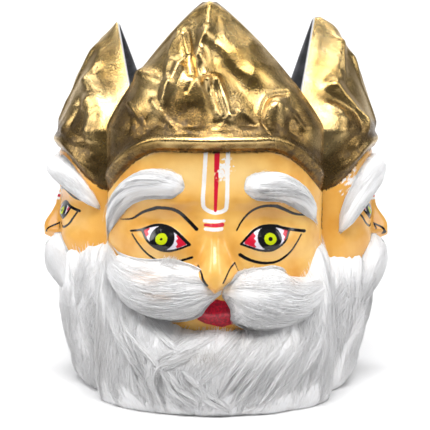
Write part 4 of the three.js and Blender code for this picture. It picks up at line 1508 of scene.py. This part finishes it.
@material("pale_paper_edge")
def cut_paper(nodes, surface, colours):
    """Cut edge of the castings: pale layers of paper, stained here and there."""
    grain = nodes.group(paper_grain(), {"Place": nodes.object_place(), "Scale": 2.0})
    nodes.fill(surface, {
        "Base Color": nodes.coats(colours.cut_edge, ((grain["Dust"], colours.cut_edge_stain),)),
        "Roughness": 0.85,
        "Normal": nodes.bump(grain["Height"], 0.0008, 0.8),
    })


@material("combed_white_wool")
def combed_wool(nodes, surface, colours):
    """Unspun white wool: soft fibres along the piece's own second coordinate, with painted shade between
    them. The tint field says where skin shows through it, where it is darkened brown-grey, partly by stains
    and partly by painted shadow, and how much painted shade greys it low down and on the bodies."""
    place = nodes.node("ShaderNodeUVMap", uv_map="surface").outputs["UV"]
    skin, stain_and_shadow, low = nodes.field("tint")

    def fibres(across, along, detail):
        fitted = nodes.node("ShaderNodeMapping", {"Vector": place, "Scale": (across, along, 1.0)})
        return nodes.noise(fitted.outputs[0], 1.0, detail, 0.6, 0.35)

    fine, middle, broad = fibres(2.2, 0.07, 2.0), fibres(0.7, 0.03, 3.0), fibres(0.12, 0.012, 3.0)
    streak = nodes.math("MULTIPLY_ADD", fine, 0.5, nodes.times(middle, 0.5))
    nodes.fill(surface, {
        # Painted shade between the fibres, with the fibres' streaks laid over it
        "Base Color": nodes.coats(colours.wool_painted_shade, (
            (nodes.between(streak, 0.36, 0.58), colours.wool),
            (nodes.between(broad, 0.52, 0.75, 0.0, 0.5), colours.wool_warm),
            # Painted shade low down and on the bodies
            (nodes.times(low, 0.27), colours.wool_painted_low_shade),
            (nodes.times(skin, nodes.between(middle, 0.62, 0.4)), colours.enamel_dark_and_painted_shade),
            # Partly stains and partly painted shadow, round the mouth and in the clefts
            (nodes.times(stain_and_shadow, nodes.between(middle, 0.65, 0.35)), colours.wool_stain_and_shadow),
        )),
        "Roughness": 0.7,
        "Sheen Weight": 0.3,
        "Sheen Roughness": 0.4,
        "Specular IOR Level": 0.3,
        "Subsurface Weight": 0.2,
        "Subsurface Radius": (1.0, 0.95, 0.9),
        "Subsurface Scale": 0.004,
        "Normal": nodes.bump(nodes.math("MULTIPLY_ADD", fine, 0.6, middle), 0.0006, 0.45),
    })


@material("pale_floor")
def pale_floor(nodes, surface, colours):
    """Matt light grey, which the lights bring up to white."""
    nodes.fill(surface, {"Base Color": (0.8, 0.8, 0.805), "Roughness": 0.9})


# The stage, in metres
FLOOR_NEAR, FLOOR_BACK, FLOOR_CURVE, FLOOR_HIGH, FLOOR_SIDE = -0.4, 1.4, 0.9, 3.2, 4.0
MASK_MIDDLE = (0, 0, 0.2)
# Lights: name, place, width and height, watts, what it points at
LIGHTS = (
    ("left_softbox", (-1.4, -0.5, 1.0), (0.6, 1.0), 11, MASK_MIDDLE),
    ("right_softbox", (1.45, -0.4, 0.9), (0.6, 1.0), 8.5, MASK_MIDDLE),
    ("top_softbox", (0.0, -0.9, 1.6), (1.2, 0.6), 34, MASK_MIDDLE),
    ("back_wash", (0.0, 0.9, 2.2), (2.4, 0.8), 60, (0, 2.2, 0.6)),
)
# The camera of the photograph: 8 degrees above the level, 1.3 m away, framing 430 by 430
CAMERA_TARGET = (0, SEAM_Y * MM + 0.030, 0.1645)
CAMERA_RISE, CAMERA_AWAY = 8, 1.3
FOCAL_PIXELS, IMAGE_SIDE, SENSOR = 1368.4, 430, 36
WORLD_LIGHT, WORLD_GLOSS = 0.03, 0.11


def floor_sweep():
    """A pale floor that rises behind the mask in a quarter circle: a profile carried sideways."""
    angle = np.linspace(0, np.pi / 2, 24)
    y = np.concatenate([[FLOOR_NEAR], FLOOR_BACK + FLOOR_CURVE * np.sin(angle), [FLOOR_BACK + FLOOR_CURVE]])
    z = np.concatenate([[0], FLOOR_CURVE * (1 - np.cos(angle)), [FLOOR_HIGH]])
    side, index = np.meshgrid(np.linspace(-FLOOR_SIDE, FLOOR_SIDE, 9), np.arange(len(y)))
    parts = Parts()
    parts.sheet(parts.add(np.stack([side, y[index], z[index]], -1) / MM, (0, 0)))
    parts.make("floor_sweep", [pale_floor()])


def place_looking(name, data, place, direction):
    """An object that holds a light or the camera and looks along a direction."""
    holder = bpy.data.objects.new(name, data)
    holder.location = place
    holder.rotation_mode = "QUATERNION"
    holder.rotation_quaternion = direction.to_track_quat("-Z", "Y")
    bpy.context.scene.collection.objects.link(holder)
    return holder


def add_light(name, place, size, power, aim):
    """A soft rectangular light."""
    lamp = bpy.data.lights.new(name, "AREA")
    lamp.shape, lamp.size, lamp.size_y, lamp.energy = "RECTANGLE", *size, power
    place_looking(name, lamp, place, Vector(aim) - Vector(place))


def set_camera():
    """A camera as far from its target as the photograph's, and turned one pixel's shift to the side."""
    elevation = np.radians(CAMERA_RISE)
    camera = bpy.data.cameras.new("camera")
    camera.sensor_width = SENSOR
    camera.lens = FOCAL_PIXELS / IMAGE_SIDE * SENSOR
    camera.shift_x = -1 / IMAGE_SIDE
    back = Vector((0, -np.cos(elevation), np.sin(elevation)))
    place = Vector(CAMERA_TARGET) + back * CAMERA_AWAY
    bpy.context.scene.camera = place_looking("camera", camera, place, -back)


def set_world():
    """White to the camera, and dim to the mask, a little less so in its reflections."""
    world = bpy.data.worlds.new("studio")
    world.use_nodes = True
    nodes = Nodes(world.node_tree)
    path = nodes.node("ShaderNodeLightPath").outputs
    dim = nodes.between(path["Is Glossy Ray"], 0.0, 1.0, WORLD_LIGHT, WORLD_GLOSS)
    strength = nodes.math("ADD", dim, path["Is Camera Ray"])
    nodes.fill(world.node_tree.nodes["Background"].inputs, {"Color": (1, 1, 1), "Strength": strength})
    bpy.context.scene.world = world
    bpy.context.scene.view_settings.view_transform = "Standard"


# Add-on classes


def length_property(name, description, default):
    return bpy.props.FloatProperty(
        name=name, description=description, default=default, unit="LENGTH", precision=4
    )


def colour_property(name, description, default):
    return bpy.props.FloatVectorProperty(
        name=name, description=description, default=default, subtype="COLOR", size=3, min=0, max=1
    )


class MaskSizes(bpy.types.PropertyGroup):
    wall: length_property("Wall", "Thickness of the papier-mache", 0.003)
    foil_crumple: length_property("Foil crumple", "Height of the crumples in the gold foil", 0.0012)
    paper_waves: length_property("Paper waves", "Height of the unevenness of the painted face", 0.0004)
    strand_width: length_property("Strand width", "Half width of a loose strand of wool", 0.00028)


class MaskColours(bpy.types.PropertyGroup):
    enamel: colour_property("Enamel", "Yellow-orange paint of the faces", (0.95, 0.57, 0.15))
    # Painted highlight: the lighter enamel below. The darker one is both a dusty tone of the paint and
    # painted shade
    enamel_painted_highlight: colour_property("Enamel light", "Thin, polished paint of the forehead", (1.0, 0.72, 0.3))
    enamel_dark_and_painted_shade: colour_property("Enamel shade", "Where the paint is thick or dusty", (0.78, 0.35, 0.045))
    ink: colour_property("Ink", "Black brush lines and irises", (0.006, 0.006, 0.007))
    rouge: colour_property("Red", "Lips, stripe and eye corners", (0.66, 0.006, 0.035))
    rouge_dark: colour_property("Dark red", "Mottles of the lips", (0.3, 0.004, 0.02))
    chalk: colour_property("White paint", "Marks on the forehead", (0.93, 0.9, 0.88))
    eye_white: colour_property("Eye white", "Cool white of the eyes", (0.78, 0.74, 0.84))
    iris: colour_property("Iris", "Light ring of the iris", (0.52, 0.62, 0.005))
    gold: colour_property("Gold", "Gold foil", (0.74, 0.54, 0.25))
    gold_shade: colour_property("Gold shade", "Tarnished gold foil", (0.48, 0.31, 0.1))
    amber: colour_property("Amber", "Foil under the roll of the rim", (0.72, 0.3, 0.04))
    # Brown foil, partly browned and partly painted shade in the grooves, in the valley above the roll and
    # under the roll
    tarnish_and_painted_shade: colour_property("Tarnish", "Foil gone brown low on the crowns", (0.1, 0.052, 0.011))
    raw_paper: colour_property("Raw paper", "Worn edge of the side leaves", (0.42, 0.42, 0.43))
    cut_edge: colour_property("Cut edge", "Pale layers of the paper's cut edge", (0.68, 0.68, 0.7))
    cut_edge_stain: colour_property("Cut edge stain", "Stains on the cut edge", (0.3, 0.29, 0.28))
    # Also laid over the darkest brown foil, which is partly painted shade
    soot: colour_property("Soot", "Dark patina in the hollows", (0.05, 0.03, 0.012))
    inside: colour_property("Inside", "Grey wash inside the castings", (0.11, 0.113, 0.122))
    wool: colour_property("Wool", "Combed white wool", (0.98, 0.985, 1.0))
    # Painted shade between the fibres
    wool_painted_shade: colour_property("Wool shade", "Between the fibres", (0.83, 0.82, 0.815))
    wool_warm: colour_property("Warm wool", "Cream tinge of some locks", (0.93, 0.9, 0.86))
    # Painted shade low down and on the bodies of the wool
    wool_painted_low_shade: colour_property("Low wool", "Greyer wool near the floor", (0.66, 0.65, 0.65))
    wool_stain_and_shadow: colour_property("Stained wool", "Brown-grey shadow round the mouth", (0.3, 0.26, 0.22))


class MASK_OT_stage(bpy.types.Operator):
    """Adds the pale floor, the lights and the camera"""

    bl_idname = "mask.stage"
    bl_label = "Stage"

    def execute(self, context):
        set_camera()
        set_world()
        floor_sweep()
        for light in LIGHTS:
            add_light(*light)
        return {"FINISHED"}


class MASK_OT_castings(bpy.types.Operator):
    """Makes the three papier-mache castings with their gilded crown leaves"""

    bl_idname = "mask.castings"
    bl_label = "Castings"

    def execute(self, context):
        for casting in CASTINGS.values():
            make_casting(casting, context.scene.mask_sizes)
        return {"FINISHED"}


class MASK_OT_beards(bpy.types.Operator):
    """Makes the three wool beards"""

    bl_idname = "mask.beards"
    bl_label = "Beards"

    def execute(self, context):
        for name in BEARDS:
            make_beard(name, context.scene.mask_sizes)
        return {"FINISHED"}


class MASK_OT_tufts(bpy.types.Operator):
    """Makes the wool moustaches and brows"""

    bl_idname = "mask.tufts"
    bl_label = "Moustaches and brows"

    def execute(self, context):
        for index, node in enumerate(TUFTS):
            make_tuft(node, index, context.scene.mask_sizes)
        return {"FINISHED"}


class MASK_PT_panel(bpy.types.Panel):
    bl_idname = "MASK_PT_panel"
    bl_label = "Three-faced mask"
    bl_space_type = "VIEW_3D"
    bl_region_type = "UI"
    bl_category = "Mask"

    def draw(self, context):
        for group in (context.scene.mask_sizes, context.scene.mask_colours):
            for name in group.__annotations__:
                self.layout.prop(group, name)
        for operator in OPERATORS:
            self.layout.operator(operator.bl_idname)


OPERATORS = (MASK_OT_stage, MASK_OT_castings, MASK_OT_beards, MASK_OT_tufts)
CLASSES = (MaskSizes, MaskColours, *OPERATORS, MASK_PT_panel)


def register():
    for cls in CLASSES:
        bpy.utils.register_class(cls)
    bpy.types.Scene.mask_sizes = bpy.props.PointerProperty(type=MaskSizes)
    bpy.types.Scene.mask_colours = bpy.props.PointerProperty(type=MaskColours)


def unregister():
    del bpy.types.Scene.mask_sizes
    del bpy.types.Scene.mask_colours
    for cls in reversed(CLASSES):
        bpy.utils.unregister_class(cls)


def main():
    """Registers the classes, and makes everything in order."""
    register()
    bpy.ops.mask.stage()
    bpy.ops.mask.castings()
    bpy.ops.mask.beards()
    bpy.ops.mask.tufts()


if __name__ == "__main__":
    main()
